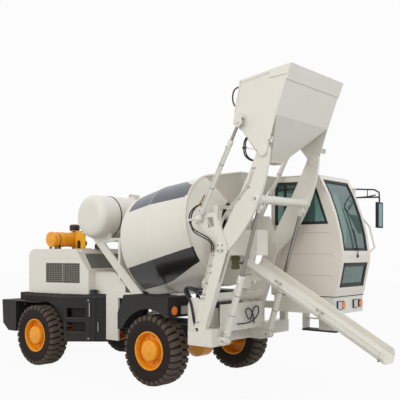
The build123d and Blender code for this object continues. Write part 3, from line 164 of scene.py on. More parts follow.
# Braided hydraulic hose with a rubber cover: black, a little shiny.
plain("hose_rubber", "1B1A1A", "272524", 60.0, 0.45, bump=0.2)
# Moulded ABS: black, fine grain of about 2 mm.
plain("black_abs", "1D1D1E", "262627", 500.0, 0.5, bump=0.15, depth=0.0005)
# Hard chromed cylinder rod: mirror-bright, its colour darkened to a warm grey as a painted
# reflection of darker surroundings.
plain("chrome_painted_reflection", "98958E", "85817A", 3.0, 0.16, metal=1.0, bump=0.0)
# Zinc-plated bolts, wire and fittings: dull silver.
plain("zinc_plate", "B5B3AC", "979488", 40.0, 0.38, metal=0.9, bump=0.1)
# Yellow-passivated hose fittings: bronze-brown.
plain("brass_fitting", "8C7038", "6A5228", 40.0, 0.4, metal=0.8)
# Cast iron gearbox and engine, painted dark grey and oily.
plain("cast_iron", "4A4946", "3A3936", 25.0, 0.55, metal=0.2, bump=0.3, depth=0.002)
# Ground steel of the roller ring and pins: worn bright.
plain("ground_steel", "A29F98", "85827B", 12.0, 0.35, metal=0.9, bump=0.1)
# Aluminised exhaust steel with heat stain.
plain("exhaust_steel", "5C5650", "3B3734", 9.0, 0.5, metal=0.7, bump=0.2)
# Vinyl seat cover: charcoal, leather-like grain of about 3 mm.
plain("seat_vinyl", "2B2B2D", "343436", 330.0, 0.6, bump=0.3, depth=0.0008)
# Dark radiator fins, and painted shade: a dark sheet that stands for the dim room behind a grille.
plain("radiator_fins_and_painted_shade", "23241F", "3A3D36", 30.0, 0.7, bump=0.5, depth=0.004)
# Dull grey-beige wire of the hood's screens.
plain("screen_wire", "A09E93", "85837A", 30.0, 0.5, metal=0.1)
# Grey ABS and felt lining inside the cab.
plain("cab_lining", "2E3030", "3A3C3B", 90.0, 0.8, bump=0.3)
# Olive-green enamel of the drum's hydraulic motor and pump.
plain("olive_enamel", "6E6B38", "57552E", 30.0, 0.45, bump=0.2)
# Painted shade: grey in pressed seams, gaps and cut-outs, standing for the shade that gathers
# there.
plain("seam_shade_grey", "A5A096", "8F8A80", 20.0, 0.6)
# Red and amber acrylic lenses with a fluted inside.
plain("red_acrylic", "A3140E", "C01C14", 200.0, 0.15, bump=0.3, depth=0.001)
plain("amber_acrylic", "FF8A34", "FA7420", 200.0, 0.15, bump=0.3, depth=0.001)
# Clear lamp lens over a silvered reflector: grey-white with square flutes.
plain("clear_acrylic", "D6D2D4", "B4B1B6", 160.0, 0.2, metal=0.2, bump=0.4, depth=0.002)


def glazing(name, colour, through):
    """Tempered tinted glass: teal-green, mirror-smooth, with part of the light let through."""
    tree, shader = blank(name)
    place = put(tree, "ShaderNodeTexCoord").outputs["Object"]
    ripple = put(tree, "ShaderNodeTexNoise", {"Vector": place, "Scale": 1.3, "Detail": 2.0})
    tinted = put(tree, "ShaderNodeMix", {share: ripple, under: tint(colour), over: tint(through)},
                 data_type="RGBA")
    fill(shader, {"Base Color": tinted, "Roughness": 0.02, "Transmission Weight": 0.8,
                  "IOR": 1.45})


glazing("tinted_glass", "A9CCC8", "93B5AE")
# Mirror plate: silvered glass with a cool cast.
plain("mirror_glass", "6E8E90", "86A6A6", 3.0, 0.08, metal=0.8, bump=0.0)


def drum_finish():
    """The drum's own enamel: cream with two dark stripes of one paint, a band above painted slate,
    lighter and bluer as a painted highlight for the light it catches on top, and a near-black band
    below, which run along the drum between a lower and an upper angle that change with the
    distance. Their edges are written as (metres along the drum, degrees above its right side)."""
    tree, shader = enamel("drum_enamel", "E4DFD4", "DCD7CB", 0.32, 0.35, 0.1)
    colour = shader.inputs["Base Color"].links[0].from_socket
    place = put(tree, "ShaderNodeTexCoord").outputs["Object"]
    offset = put(tree, "ShaderNodeVectorMath", {0: place, 1: at(*drum_joint)},
                 operation="SUBTRACT")
    along, up, near = (put(tree, "ShaderNodeVectorMath", {0: offset, 1: direction},
                           operation="DOT_PRODUCT")
                       for direction in (drum_axis, (-drum_axis[2], 0, drum_axis[0]), (0, -1, 0)))
    angle = put(tree, "ShaderNodeMath", {0: up, 1: near}, operation="ARCTAN2")
    angle = put(tree, "ShaderNodeMath", {0: angle}, operation="DEGREES")
    # A curve works from 0 to 1, so it spans 2.5 m from -1 m and 240 degrees from -90.
    spread = put(tree, "ShaderNodeMath", {0: along, 1: 1.0, 2: 1.0}, operation="MULTIPLY_ADD")
    spread = put(tree, "ShaderNodeMath", {0: spread, 1: 2.5}, operation="DIVIDE")

    def edge(stops):
        """The band edge's angle at each distance along the drum."""
        ramp = put(tree, "ShaderNodeFloatCurve", {"Value": spread})
        curve = ramp.mapping.curves[0]
        ramp.mapping.use_clip = False
        places = [((distance + 1) / 2.5, (degrees + 90) / 240) for distance, degrees in stops]
        curve.points[0].location, curve.points[-1].location = places[0], places[-1]
        for place in places[1:-1]:
            curve.points.new(*place)
        for point in curve.points:
            point.handle_type = "VECTOR"
        ramp.mapping.update()
        return put(tree, "ShaderNodeMath", {0: ramp, 1: 240.0, 2: -90.0},
                   operation="MULTIPLY_ADD")

    def between(value, low, high):
        """1 where a number lies between two others."""
        above = put(tree, "ShaderNodeMath", {0: value, 1: low}, operation="GREATER_THAN")
        below = put(tree, "ShaderNodeMath", {0: value, 1: high}, operation="LESS_THAN")
        return put(tree, "ShaderNodeMath", {0: above, 1: below}, operation="MULTIPLY")

    highlit_band_low = [(-0.9, 38), (-0.5, 37.5), (-0.06, 36.8), (0.89, 35.2)]
    highlit_band_high = [(-0.9, 100), (-0.5, 112), (0, 100), (0.5, 72), (0.79, 54), (0.9, 50)]
    black_low = [(-0.66, -57), (-0.35, -54.7), (0.16, -50.5), (0.66, -40.6), (0.93, -35.3)]
    black_high = [(-0.66, -25), (0.02, -21.8), (0.91, -19)]
    upper, lower = (put(tree, "ShaderNodeMath", {0: between(angle, edge(low), edge(high)),
                                                 1: between(along, first, last)},
                        operation="MULTIPLY")
                    for low, high, first, last in ((highlit_band_low, highlit_band_high, -0.56, 0.885),
                                                   (black_low, black_high, -0.655, 0.93)))
    # The seam of the drum's two cones is left pale across the upper band.
    seam = put(tree, "ShaderNodeMath", {0: between(along, -0.006, 0.006), 1: upper},
               operation="MULTIPLY")
    # Painted highlight: the upper band's slate is the same dark stripe paint made lighter and bluer
    # for the light it catches on top
    for field, paint in ((upper, "4C4E5A"), (lower, "171412"), (seam, "B9BBC2")):
        colour = put(tree, "ShaderNodeMix", {share: field, under: colour, over: tint(paint)},
                     data_type="RGBA")
    fill(shader, {"Base Color": colour})


drum_finish()


def cab_finish():
    """The cab's cream enamel outside, and grey lining on every face that looks into the cab."""
    tree, shader = enamel("cab_enamel", "E7DFD4", "E1D8CB", 0.32, 0.3, 0.12)
    cream = shader.inputs["Base Color"].links[0].from_socket
    own = put(tree, "ShaderNodeTexCoord")
    outward = put(tree, "ShaderNodeVectorMath", {0: own.outputs["Object"],
                                                 1: at(3380, 920, 2450)}, operation="SUBTRACT")
    facing = put(tree, "ShaderNodeVectorMath", {0: outward, 1: own.outputs["Normal"]},
                 operation="DOT_PRODUCT")
    inside = put(tree, "ShaderNodeMath", {0: facing, 1: -0.02}, operation="LESS_THAN")
    lined = put(tree, "ShaderNodeMix", {share: inside, under: cream, over: tint("323434")},
                data_type="RGBA")
    fill(shader, {"Base Color": lined})


cab_finish()


def tread_plate():
    """Charcoal enamel on checker plate: raised lozenges 30 mm long, worn to grey on top."""
    tree, shader = enamel("tread_plate", "262422", "201E1C", 0.55, 0.0, 0.5, "544C41", 1.6)
    base = shader.inputs["Base Color"].links[0].from_socket
    place = put(tree, "ShaderNodeTexCoord").outputs["Object"]
    turned = put(tree, "ShaderNodeMapping", {"Vector": place, "Rotation": (0, 0, radians(45)),
                                             "Scale": (33, 33, 33)})
    white, black = (1, 1, 1, 1), (0, 0, 0, 1)
    cells = put(tree, "ShaderNodeTexBrick", {
        "Vector": turned, "Scale": 1.0, "Mortar Size": 0.28, "Mortar Smooth": 0.4,
        "Brick Width": 1.0, "Row Height": 0.5, "Color1": white, "Color2": white, "Mortar": black})
    raised = put(tree, "ShaderNodeBump", {"Height": cells, "Strength": 0.6, "Distance": 0.003})
    rubbed = put(tree, "ShaderNodeMath", {0: cells, 1: 0.25}, operation="MULTIPLY")
    grey = put(tree, "ShaderNodeMix", {share: rubbed, under: base, over: tint("5F5B55")},
               data_type="RGBA")
    fill(shader, {"Normal": raised, "Base Color": grey})


tread_plate()

# The CAD nodes that stay, and the finish of each
node_finish = {"cream_enamel": ["front_frame", "engine_hood", "water_tank", "tank_saddles",
                                "drum_pedestal", "drum_roller_stand", "inlet_hopper",
                                "discharge_funnel", "loader_mast", "chute_post", "chute",
                                "loader_arm", "bucket", "bucket_gate", "lift_barrels",
                                "tilt_barrels", "cab_base", "grab_rail", "cab_step", "tip_pins",
                                "horn_pins"], "cab_enamel": ["cab_shell", "cab_door"],
               "charcoal_enamel": ["chassis_frame", "rear_bumper", "rear_fenders", "front_fenders",
                                   "side_box_right", "side_box_left", "side_box_door", "tow_hitch"],
               "tread_plate": ["deck"], "orange_enamel": ["front_axle", "rear_axle", "knuckle_left",
                                                          "knuckle_right", "rim_front_left",
                                                          "rim_front_right", "rim_rear_left",
                                                          "rim_rear_right", "air_cleaner"],
               "sidewall_rubber": ["tyre_front_left", "tyre_front_right", "tyre_rear_left",
                                   "tyre_rear_right"], "drum_enamel": ["drum"],
               "cast_iron": ["engine_block", "drum_gearbox"], "exhaust_steel": ["exhaust"],
               "chrome_painted_reflection": ["lift_rods", "tilt_rods"], "tinted_glass": ["cab_glass",
                                                                           "door_glass"],
               "clear_acrylic": ["head_lamps"], "amber_acrylic": ["indicator_lamps"],
               "black_abs": ["steering_console", "mirror", "seat"], "screen_wire": ["hood_grilles"],
               }
for look, names in node_finish.items():
    for name in names:
        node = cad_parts[name]
        for holder in node.material_slots:
            holder.material = finish[look]


# ---------------------------------------------------------------- shapes
def linked(name, data):
    """A new object in the scene."""
    made = bpy.data.objects.new(name, data)
    bpy.context.scene.collection.objects.link(made)
    return made


def around(count, shift=0.0):
    """Evenly spaced angles round a full turn."""
    return [2 * pi * (number + shift) / count for number in range(count)]


def ring(half, radius, proud, root=1):
    """The closed profile of a band round a cylinder: half its width, and how far it stands out."""
    return [(-half, radius - root), (-half, radius + proud), (half, radius + proud),
            (half, radius - root), (-half, radius - root)]


class Shape:
    """A piece's mesh while it is made, in machine millimetres."""

    def __init__(self):
        self.mesh = bmesh.new()
        self.slot = 0

    def faces(self, points, loops):
        """Faces between points, given as lists of point numbers."""
        corners = [self.mesh.verts.new(p) for p in points]
        for loop in loops:
            self.mesh.faces.new([corners[i] for i in loop]).material_index = self.slot

    def prism(self, outline, depth):
        """A flat outline given a thickness along a vector."""
        count = len(outline)
        points = [Vector(p) for p in outline] + [Vector(p) + Vector(depth) for p in outline]
        sides = [(i, (i + 1) % count, (i + 1) % count + count, i + count) for i in range(count)]
        self.faces(points, [tuple(reversed(range(count))), tuple(range(count, 2 * count))] + sides)

    def side_plate(self, outline, y_low, y_high):
        """A side outline (x, z) given a thickness in Y."""
        self.prism([(x, y_low, z) for x, z in outline], (0, y_high - y_low, 0))

    def box(self, low, high):
        """A block between two corners."""
        (x0, y0, z0), (x1, y1, z1) = low, high
        self.prism([(x0, y0, z0), (x1, y0, z0), (x1, y1, z0), (x0, y1, z0)], (0, 0, z1 - z0))

    def bar(self, path, radius, sides=12):
        """A round bar along a path of points, mitred at its corners."""
        path = [Vector(p) for p in path]
        steps = [(b - a).normalized() for a, b in zip(path, path[1:])]
        across = steps[0].orthogonal().normalized()
        rings = []
        for number, place in enumerate(path):
            before = steps[max(number - 1, 0)]
            after = steps[min(number, len(steps) - 1)]
            ahead = (before + after).normalized()
            across = (across - ahead * across.dot(ahead)).normalized()
            up = ahead.cross(across)
            stretch = 1 / max(0.4, ahead.dot(after))
            rings.append([place + (across * cos(2 * pi * i / sides) + up *
                                   sin(2 * pi * i / sides)) * radius * (stretch
                                                                        if 0 < number < len(path) -
                                                                        1 else 1)
                          for i in range(sides)])
        self.skin(rings, closed_ends=True)

    def skin(self, rings, closed_ends=False, wrap=False):
        """Quads between rings of points; wrap joins the last ring to the first."""
        count = len(rings[0])
        points = [p for ring in rings for p in ring]
        loops = []
        for r in range(len(rings) if wrap else len(rings) - 1):
            near, far = r * count, ((r + 1) % len(rings)) * count
            loops += [(near + i, near + (i + 1) % count, far + (i + 1) % count, far + i)
                      for i in range(count)]
        if closed_ends:
            loops += [tuple(range(count)), tuple(reversed(range(len(points) - count, len(points))))]
        self.faces(points, loops)

    def rim(self, outer, inner, depth):
        """A flat frame between two outlines with as many corners, thickened along a vector."""
        depth = Vector(depth)
        outer, inner = [Vector(p) for p in outer], [Vector(p) for p in inner]
        self.skin([outer, inner, [p + depth for p in inner], [p + depth for p in outer]], wrap=True)

    def turned(self, centre, axis, profile, turns=32):
        """A form turned about an axis from (distance along it, radius) pairs, open or closed."""
        centre, axis = Vector(centre), Vector(axis).normalized()
        across = axis.orthogonal().normalized()
        up = axis.cross(across)
        rings = [[centre + axis * along + (across * cos(2 * pi * i / turns) + up *
                                           sin(2 * pi * i / turns)) * max(radius, 0.01)
                  for i in range(turns)] for along, radius in profile]
        self.skin(rings, closed_ends=profile[0] != profile[-1])

    def bolt(self, place, axis, size):
        """A hexagon head on its washer; size is the width over the flats."""
        self.turned(place, axis, [(0, size * 0.95), (size * 0.12, size * 0.95),
                                  (size * 0.13, size * 0.6)], 16)
        self.turned(Vector(place) + Vector(axis).normalized() * size * 0.12, axis,
                    [(0, size * 0.57), (size * 0.5, size * 0.57), (size * 0.6, size * 0.42)], 6)

    def thing(self, name, looks):
        """Turn the mesh into an object with its finishes, in metres."""
        bmesh.ops.recalc_face_normals(self.mesh, faces=self.mesh.faces)
        self.mesh.transform(Matrix.Scale(MM, 4) @ Matrix.Translation(-DATUM))
        data = bpy.data.meshes.new(name)
        self.mesh.to_mesh(data)
        self.mesh.free()
        for look in looks:
            data.materials.append(finish[look])
        return linked(name, data)

    def piece(self, name, body, looks, bevel=0.0, replaces=(), smooth=40):
        """Turn the mesh into a visible piece that rides on a body."""
        made = self.thing(name, looks)
        data = made.data
        data.polygons.foreach_set("use_smooth", [True] * len(data.polygons))
        data.set_sharp_from_angle(angle=radians(smooth))
        if bevel:
            rounding = made.modifiers.new("rounded_edges", "BEVEL")
            rounding.width = bevel * MM
            rounding.segments = 2
            rounding.limit_method = "ANGLE"
            rounding.angle_limit = radians(40)
            rounding.harden_normals = True
        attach(made, body)
        if replaces:
            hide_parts(*replaces)
        return made


# The slot of each finish, as listed; the loop builds a table from them and keeps none of it
for slot, looks in {"cream_paint": ["cream_enamel", "cab_enamel", "seam_shade_grey"],
                    "charcoal_paint": ["charcoal_enamel", "tread_plate"],
                    "orange_paint": ["orange_enamel", "yellow_enamel"],
                    "drum_paint": ["drum_enamel"], "tyre": ["sidewall_rubber", "tread_rubber"],
                    "glass": ["tinted_glass", "mirror_glass"], "lamp_glass": ["clear_acrylic"],
                    "amber": ["amber_acrylic", "red_acrylic"], "chrome": ["chrome_painted_reflection"],
                    "steel": ["zinc_plate", "ground_steel", "screen_wire", "exhaust_steel",
                              "brass_fitting"], "iron": ["cast_iron", "olive_enamel"],
                    "black_plastic": ["radiator_fins_and_painted_shade", "gasket_rubber", "hose_rubber", "black_abs",
                                      "cab_lining"], "seat_cover": ["seat_vinyl"]}.items():
    dict.fromkeys(looks, slot)


def hoses(name, body, look, radius, routes):
    """Hoses or pipes clipped to what they run along, each a smooth curve through its route."""
    data = bpy.data.curves.new(name, "CURVE")
    data.dimensions = "3D"
    data.bevel_depth = radius * MM
    data.bevel_resolution = 3
    data.resolution_u = 8
    data.use_fill_caps = True
    for route in routes:
        spline = data.splines.new("NURBS")
        spline.points.add(len(route) - 1)
        for point, place in zip(spline.points, route):
            point.co = (*at(*place), 1.0)
        spline.order_u = 3
        spline.use_endpoint_u = True
    made = linked(name, data)
    data.materials.append(finish[look])
    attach(made, body)
    return made


# ---------------------------------------------------------------- camera and light
camera = linked("camera", bpy.data.cameras.new("camera"))
camera.location = at(9078, -9058, 2221)
camera.rotation_euler = (radians(90), 0, radians(41.03))
camera.data.lens = 59.01
camera.data.shift_x = 0.0378
camera.data.shift_y = 0.1295
camera.data.clip_end = 200
bpy.context.scene.camera = camera
bpy.context.scene.view_settings.view_transform = "Standard"

for name, place, energy, size, colour in (
        ("key", (-1.0, -16.0, 8.0), 560, 11.0, "FFFAF2"),
        ("front_fill", (15.0, -5.0, 8.0), 470, 9.0, "F2F6FC")):
    lamp = linked(name, bpy.data.lights.new(name, "AREA"))
    lamp.data.energy = energy
    lamp.data.size = size
    lamp.data.color = tint(colour)[:3]
    lamp.location = place
    lamp.rotation_euler = (Vector((0, 0, 1.6)) - Vector(place)).to_track_quat("-Z", "Y").to_euler()


def backdrop_light(tree):
    """1 for light that goes straight to the camera, to gloss or through glass, and 0 elsewhere."""
    path = put(tree, "ShaderNodeLightPath").outputs
    seen = put(tree, "ShaderNodeMath", {0: path["Is Camera Ray"], 1: path["Is Glossy Ray"]},
               operation="MAXIMUM")
    return put(tree, "ShaderNodeMath", {0: seen, 1: path["Is Transmission Ray"]},
               operation="MAXIMUM")


world = bpy.data.worlds.new("studio")
bpy.context.scene.world = world
world.use_nodes = True
sky = world.node_tree
sky.nodes.clear()
ambient = put(sky, "ShaderNodeBackground", {"Color": tint("F4F7FA"), "Strength": 0.98})
white = put(sky, "ShaderNodeBackground", {"Color": tint("FCFCFC"), "Strength": 1.0})
blend = put(sky, "ShaderNodeMixShader", {0: backdrop_light(sky), 1: ambient, 2: white})
put(sky, "ShaderNodeOutputWorld", {"Surface": blend})

# A pale floor that looks as white as the backdrop and still takes a faint shadow
floor = Shape()
floor.box((-40000, -40000, -30), (40000, 40000, -1))
tree, shader = blank("studio_floor")
fill(shader, {"Base Color": tint("A8A8A4"), "Roughness": 0.9})
lit = put(tree, "ShaderNodeEmission", {"Color": tint("FEFEFE"), "Strength": 1.0})
veil = put(tree, "ShaderNodeMath", {0: backdrop_light(tree), 1: 0.95}, operation="MULTIPLY")
blend = put(tree, "ShaderNodeMixShader", {0: veil, 1: shader, 2: lit})
put(tree, "ShaderNodeOutputMaterial", {"Surface": blend}).is_active_output = True
floor.thing("studio_floor", ["studio_floor"])

# ---------------------------------------------------------------- wheels
axle_x, wheel_y, axle_z = 1550, 1137, 590
lugs_a_half = 30
# Half of the tyre's section: (distance from its middle, radius)
tyre_half = [(160, 308), (167, 322), (183, 332), (194, 344), (198, 356), (194, 364), (196, 380),
             (203, 410), (206, 445), (204, 480), (197, 512), (182, 534), (158, 549), (120, 555),
             (60, 556)]
# A lug's stations from the middle to the side: inner point and outer point as in the section,
# half width, and turn in degrees
lug_stations = [(-5, 548, -5, 585, 34, 0.0), (60, 548, 62, 589, 36, 0.6),
                (120, 546, 124, 588, 38, 1.6), (158, 530, 173, 580, 39, 2.4),
                (180, 502, 200, 548, 38, 3.0), (194, 478, 203, 516, 30, 3.3)]


def tyre_piece(corner, x, side):
    """A tyre with bead, rim rib, side rings and staggered lugs that wrap over its shoulders."""
    shape = Shape()
    section = [(-a, r) for a, r in tyre_half] + [(a, r) for a, r in reversed(tyre_half)]
    shape.turned((x, side * wheel_y, axle_z), (0, side, 0), section + [section[0]], 72)
    shape.slot = 1
    for half in (-1, 1):
        for start in around(lugs_a_half, 0.5 if half > 0 else 0):
            rings = []
            for a_in, r_in, a_out, r_out, wide, turn in lug_stations:
                middle = start + radians(turn) * side
                section = []
                for a, r, w in ((a_in, r_in, wide + 7), (a_out, r_out, wide),
                                (a_out, r_out, -wide), (a_in, r_in, -wide - 7)):
                    angle = middle + w / r
                    section.append(Vector((x + r * cos(angle), side * (wheel_y + half * a),
                                           axle_z + r * sin(angle))))
                rings.append(section)
            shape.skin(rings, closed_ends=True)
    shape.piece(f"lugged_{corner}", f"wheel_{corner}", ["sidewall_rubber", "tread_rubber"], bevel=5,
                replaces=[f"tyre_{corner}"])


def wheel_hardware(corner, x, side):
    """Wheel nuts on their studs, hub bolts, drain plug and valve."""
    shape = Shape()
    shape.slot = 1
    outward = Vector((0, side, 0))
    nut_circle, hub_circle = 222, 128
    for angle in around(12):
        place = (x + nut_circle * cos(angle), side * (wheel_y + 52),
                 axle_z + nut_circle * sin(angle))
        shape.bolt(place, outward, 32)
        shape.turned(place, outward, [(0, 10), (34, 10), (38, 7)], 10)
    centre = (x, side * wheel_y, axle_z)
    shape.turned(centre, outward, [(40, 196), (62, 196), (70, 180), (172, 174), (186, 164),
                                   (190, 150), (190, 0)], 48)
    shape.turned(centre, outward, [(190, 62), (194, 62), (197, 56), (197, 0)], 32)
    for angle in around(6, 0.5):
        shape.bolt((x + hub_circle * cos(angle), side * (wheel_y + 190),
                    axle_z + hub_circle * sin(angle)), outward, 12)
    shape.slot = 2
    shape.bar([(x + 262, side * (wheel_y + 30), axle_z + 60),
               (x + 268, side * (wheel_y + 90), axle_z + 62)], 7, 8)
    shape.piece(f"nuts_{corner}", f"wheel_{corner}",
                ["zinc_plate", "orange_enamel", "gasket_rubber"], bevel=1)


for end, x in (("front", axle_x), ("rear", -axle_x)):
    for hand, side in (("left", 1), ("right", -1)):
        tyre_piece(f"{end}_{hand}", x, side)
        wheel_hardware(f"{end}_{hand}", x, side)

# ---------------------------------------------------------------- hood and deck
def inset(outline, distance):
    """A flat outline moved inwards by a distance, with mitred corners."""
    count = len(outline)
    area = sum(outline[i - 1][0] * outline[i][1] - outline[i][0] * outline[i - 1][1]
               for i in range(count))
    turn = 1 if area > 0 else -1
    moved = []
    for i in range(count):
        here = Vector(outline[i])
        before = (here - Vector(outline[i - 1])).normalized()
        after = (Vector(outline[(i + 1) % count]) - here).normalized()
        first = Vector((-before.y, before.x)) * turn
        middle = (first + Vector((-after.y, after.x)) * turn).normalized()
        moved.append(tuple(here + middle * distance / middle.dot(first)))
    return moved


hood_rear_x, hood_rear_half, hood_taper = -2050, 1090, 0.22759


def on_hood_side(shape, side, x, z, out):
    """A flat block on the hood's tapered side: along it, up it and out of it."""
    def half(place, proud):
        return side * (hood_rear_half - hood_taper * (place - hood_rear_x) + proud)
    corners = [(x[0], out[0]), (x[1], out[0]), (x[1], out[1]), (x[0], out[1])]
    shape.prism([(place, half(place, proud), z[0]) for place, proud in corners],
                (0, 0, z[1] - z[0]))


def hood_screens():
    """Wire screens in both hood sides: 20 by 10 bars round a middle bar, over a dark sheet of
    painted shade.
    """
    shape = Shape()
    left, right, low, high = -1624, -805, 1610, 2000
    for side in (-1, 1):
        shape.slot = 0
        for number in range(21):
            x = left + 4 + (right - left - 8) * number / 20
            wide = 13 if number == 10 else 3.6
            on_hood_side(shape, side, (x - wide, x + wide), (low, high), (-11, -4))
        for number in range(11):
            z = low + 4 + (high - low - 8) * number / 10
            on_hood_side(shape, side, (left, right), (z - 4, z + 4), (-9, -1))
        # Painted shade: a dark sheet behind the screen for the dim space inside the hood
        shape.slot = 1
        on_hood_side(shape, side, (left - 6, right + 6), (low - 6, high + 6), (-60, -40))
    shape.piece("hood_side_screens", "machine_body", ["screen_wire", "radiator_fins_and_painted_shade"],
                replaces=["hood_grilles"])


def on_slope(up, y, out):
    """A point on the hood's front slope: up it, across it and out of it."""
    back, rise = 0.5617, 0.8272     # the slope's run and rise for each millimetre along it
    return (-608 - back * up + rise * out, y, 1850 + rise * up + back * out)


def slope_block(shape, up, y, out):
    """A flat block on the hood's front slope."""
    depth = Vector(on_slope(0, 0, out[1])) - Vector(on_slope(0, 0, out[0]))
    shape.prism([on_slope(up[0], y[0], out[0]), on_slope(up[0], y[1], out[0]),
                 on_slope(up[1], y[1], out[0]), on_slope(up[1], y[0], out[0])], depth)


def slope_grille():
    """The air outlet on the hood's slope: expanded metal in a frame, and the ledge below."""
    shape = Shape()
    # Painted shade: a dark sheet under the expanded metal for the dim space behind the outlet
    slope_block(shape, (62, 396), (-650, 650), (-2, 2))
    shape.slot = 1
    for number in range(14):
        up = 75 + 24 * number
        slope_block(shape, (up - 5, up + 5), (-650, 650), (2, 6))
    for number in range(53):
        y = -640 + 24.6 * number
        slope_block(shape, (62, 396), (y - 4, y + 4), (2, 5))
    shape.slot = 2
    corners = [(56, -660), (56, 660), (402, 660), (402, -660)]
    outer = [on_slope(u, y, 0) for u, y in inset(corners, -16)]
    inner = [on_slope(u, y, 0) for u, y in corners]
    shape.rim(outer, inner, Vector(on_slope(0, 0, 11)) - Vector(on_slope(0, 0, 0)))
    shape.side_plate([(-640, 1846), (-592, 1846), (-592, 1856), (-616, 1864)], -752, 752)
    shape.piece("slope_outlet_grille", "machine_body", ["radiator_fins_and_painted_shade", "screen_wire",
                                                        "cream_enamel"], bevel=1.5)


def hood_trim():
    """Door seams, latches, hinges, lifting eyes and rain drip on the hood."""
    shape = Shape()
    # Painted shade: thin grey strips for the shadow in the door seams
    for side in (-1, 1):
        on_hood_side(shape, side, (-1720, -760), (2090, 2093), (-1, 1))
    for y in (-3, 3):
        shape.box((-2052, y - 1, 1430), (-2049, y + 1, 2080))
    shape.slot = 1
    for y in (-60, 60):
        shape.box((-2066, y - 18, 1700), (-2050, y + 18, 1830))
    shape.slot = 2
    for side in (-1, 1):
        for x in (-1640, -1215, -790):
            on_hood_side(shape, side, (x - 45, x + 45), (2222, 2250), (0, 6))
        shape.bar([(-1800, side * 700, 2278), (-1800, side * 700, 2330), (-1760, side * 700, 2345),
                   (-1720, side * 700, 2330), (-1720, side * 700, 2278)], 9, 10)
    # Fairing plates between the hood and the drum's pedestal, flanged along their top
    for side in (-1, 1):
        low, high = sorted((side * 594, side * 598))
        shape.side_plate([(-598, 1412), (-598, 1840), (-35, 1840), (250, 1600), (250, 1412)], low,
                         high)
        low, high = sorted((side * 594, side * 626))
        shape.box((-598, low, 1834), (-40, high, 1844))
    shape.piece("hood_seams_fairings", "machine_body",
                ["seam_shade_grey", "black_abs", "cream_enamel"], bevel=1.5)


def rear_louvres():
    """The radiator's louvred intake in the hood's rear, in a dark frame."""
    shape = Shape()
    # Partly painted shade: a dark sheet behind the louvres stands for the radiator and the shade
    # behind them
    shape.box((-2053, -700, 1560), (-2049, 700, 2020))
    shape.slot = 1
    for number in range(15):
        z = 1575 + 30 * number
        for y in (-698, 4):
            shape.prism([(-2052, y, z), (-2052, y, z + 8), (-2068, y, z - 8), (-2068, y, z - 14)],
                        (0, 694, 0))
    frame_outline = [(-712, 1548), (712, 1548), (712, 2032), (-712, 2032)]
    outer = [(-2050, y, z) for y, z in inset(frame_outline, -14)]
    shape.rim(outer, [(-2050, y, z) for y, z in frame_outline], (-20, 0, 0))
    shape.box((-2070, -5, 1548), (-2050, 5, 2032))
    shape.piece("rear_intake_louvres", "machine_body", ["radiator_fins_and_painted_shade", "charcoal_enamel"],
                bevel=1)


def deck_fittings():
    """Filler cap on the deck, edge strip round the deck, and bolts along it."""
    shape = Shape()
    centre = (-520, -690, 1400)
    shape.turned(centre, (0, 0, 1), [(0, 92), (8, 92), (14, 62), (60, 52), (60, 0)], 36)
    shape.turned(centre, (0, 0, 1), [(44, 60), (50, 70), (84, 70), (92, 60), (92, 0)], 36)
    for angle in around(18):
        place = Vector(centre) + Vector((68 * cos(angle), 68 * sin(angle), 50))
        shape.bar([place, place + Vector((0, 0, 32))], 6, 6)
    shape.slot = 1
    plan = [(-2196, -1116), (-932, -1116), (-254, -558), (-254, 558), (-932, 1116), (-2196, 1116)]
    outer = [(x, y, 1384) for x, y in inset(plan, -5)]
    shape.rim(outer, [(x, y, 1384) for x, y in inset(plan, 10)], (0, 0, 22))
    shape.slot = 2
    for x in range(-2120, -960, 190):
        for side in (-1, 1):
            shape.bolt((x, side * 1103, 1402), (0, 0, 1), 22)
    shape.piece("deck_cap_edge", "machine_body", ["black_abs", "charcoal_enamel", "zinc_plate"],
                bevel=1.5)


def air_cleaner_dress():
    """Clamp bands, dished end cover, dust valve and black rain cap of the air cleaner."""
    shape = Shape()
    middle = Vector((-1550, 0, 2470))
    shape.turned(middle + Vector((0, -920, 0)), (0, -1, 0), [(-26, 147), (-26, 153), (10, 153),
                                                             (22, 140), (26, 110), (20, 96),
                                                             (26, 84), (30, 0)], 44)
    for angle in around(3):
        angle += 0.4
        along = Vector((cos(angle), 0, sin(angle)))
        place = middle + Vector((0, -890, 0)) + along * 152
        shape.bar([place, place + Vector((0, -46, 0)) + along * 6,
                   place + Vector((0, -52, 0)) - along * 10], 7, 8)
    shape.slot = 1
    for y in (-790, -640):
        shape.turned(middle + Vector((0, y, 0)), (0, 1, 0), ring(7, 145, 4), 44)
    shape.turned((-905, -210, 2282), (0, 0, 1),
                 [(0, 98), (70, 98), (100, 82), (128, 56), (175, 52), (175, 0)], 32)
    for y in (-760, -300):
        shape.box((-1640, y - 20, 2278), (-1460, y + 20, 2296))
        for side in (-1, 1):
            shape.side_plate([(middle.x + side * 90, 2296), (middle.x + side * 62, 2296),
                              (middle.x + side * 62, 2346), (middle.x + side * 82, 2352)],
                             y - 15, y + 15)
    cap = Vector((-1550, -320, 0))
    shape.turned(cap, (0, 0, 1), [(2640, 46), (2640, 62), (2652, 90), (2668, 102), (2760, 102),
                                  (2778, 92), (2786, 60), (2788, 0)], 40)
    for angle in around(20):
        place = cap + Vector((101 * cos(angle), 101 * sin(angle), 2672))
        shape.bar([place, place + Vector((0, 0, 84))], 4, 6)
    shape.bar([(-1620, -870, 2348), (-1640, -870, 2300), (-1645, -870, 2290)], 24, 14)
    shape.piece("air_cleaner_fittings", "machine_body", ["orange_enamel", "black_abs"], bevel=1)


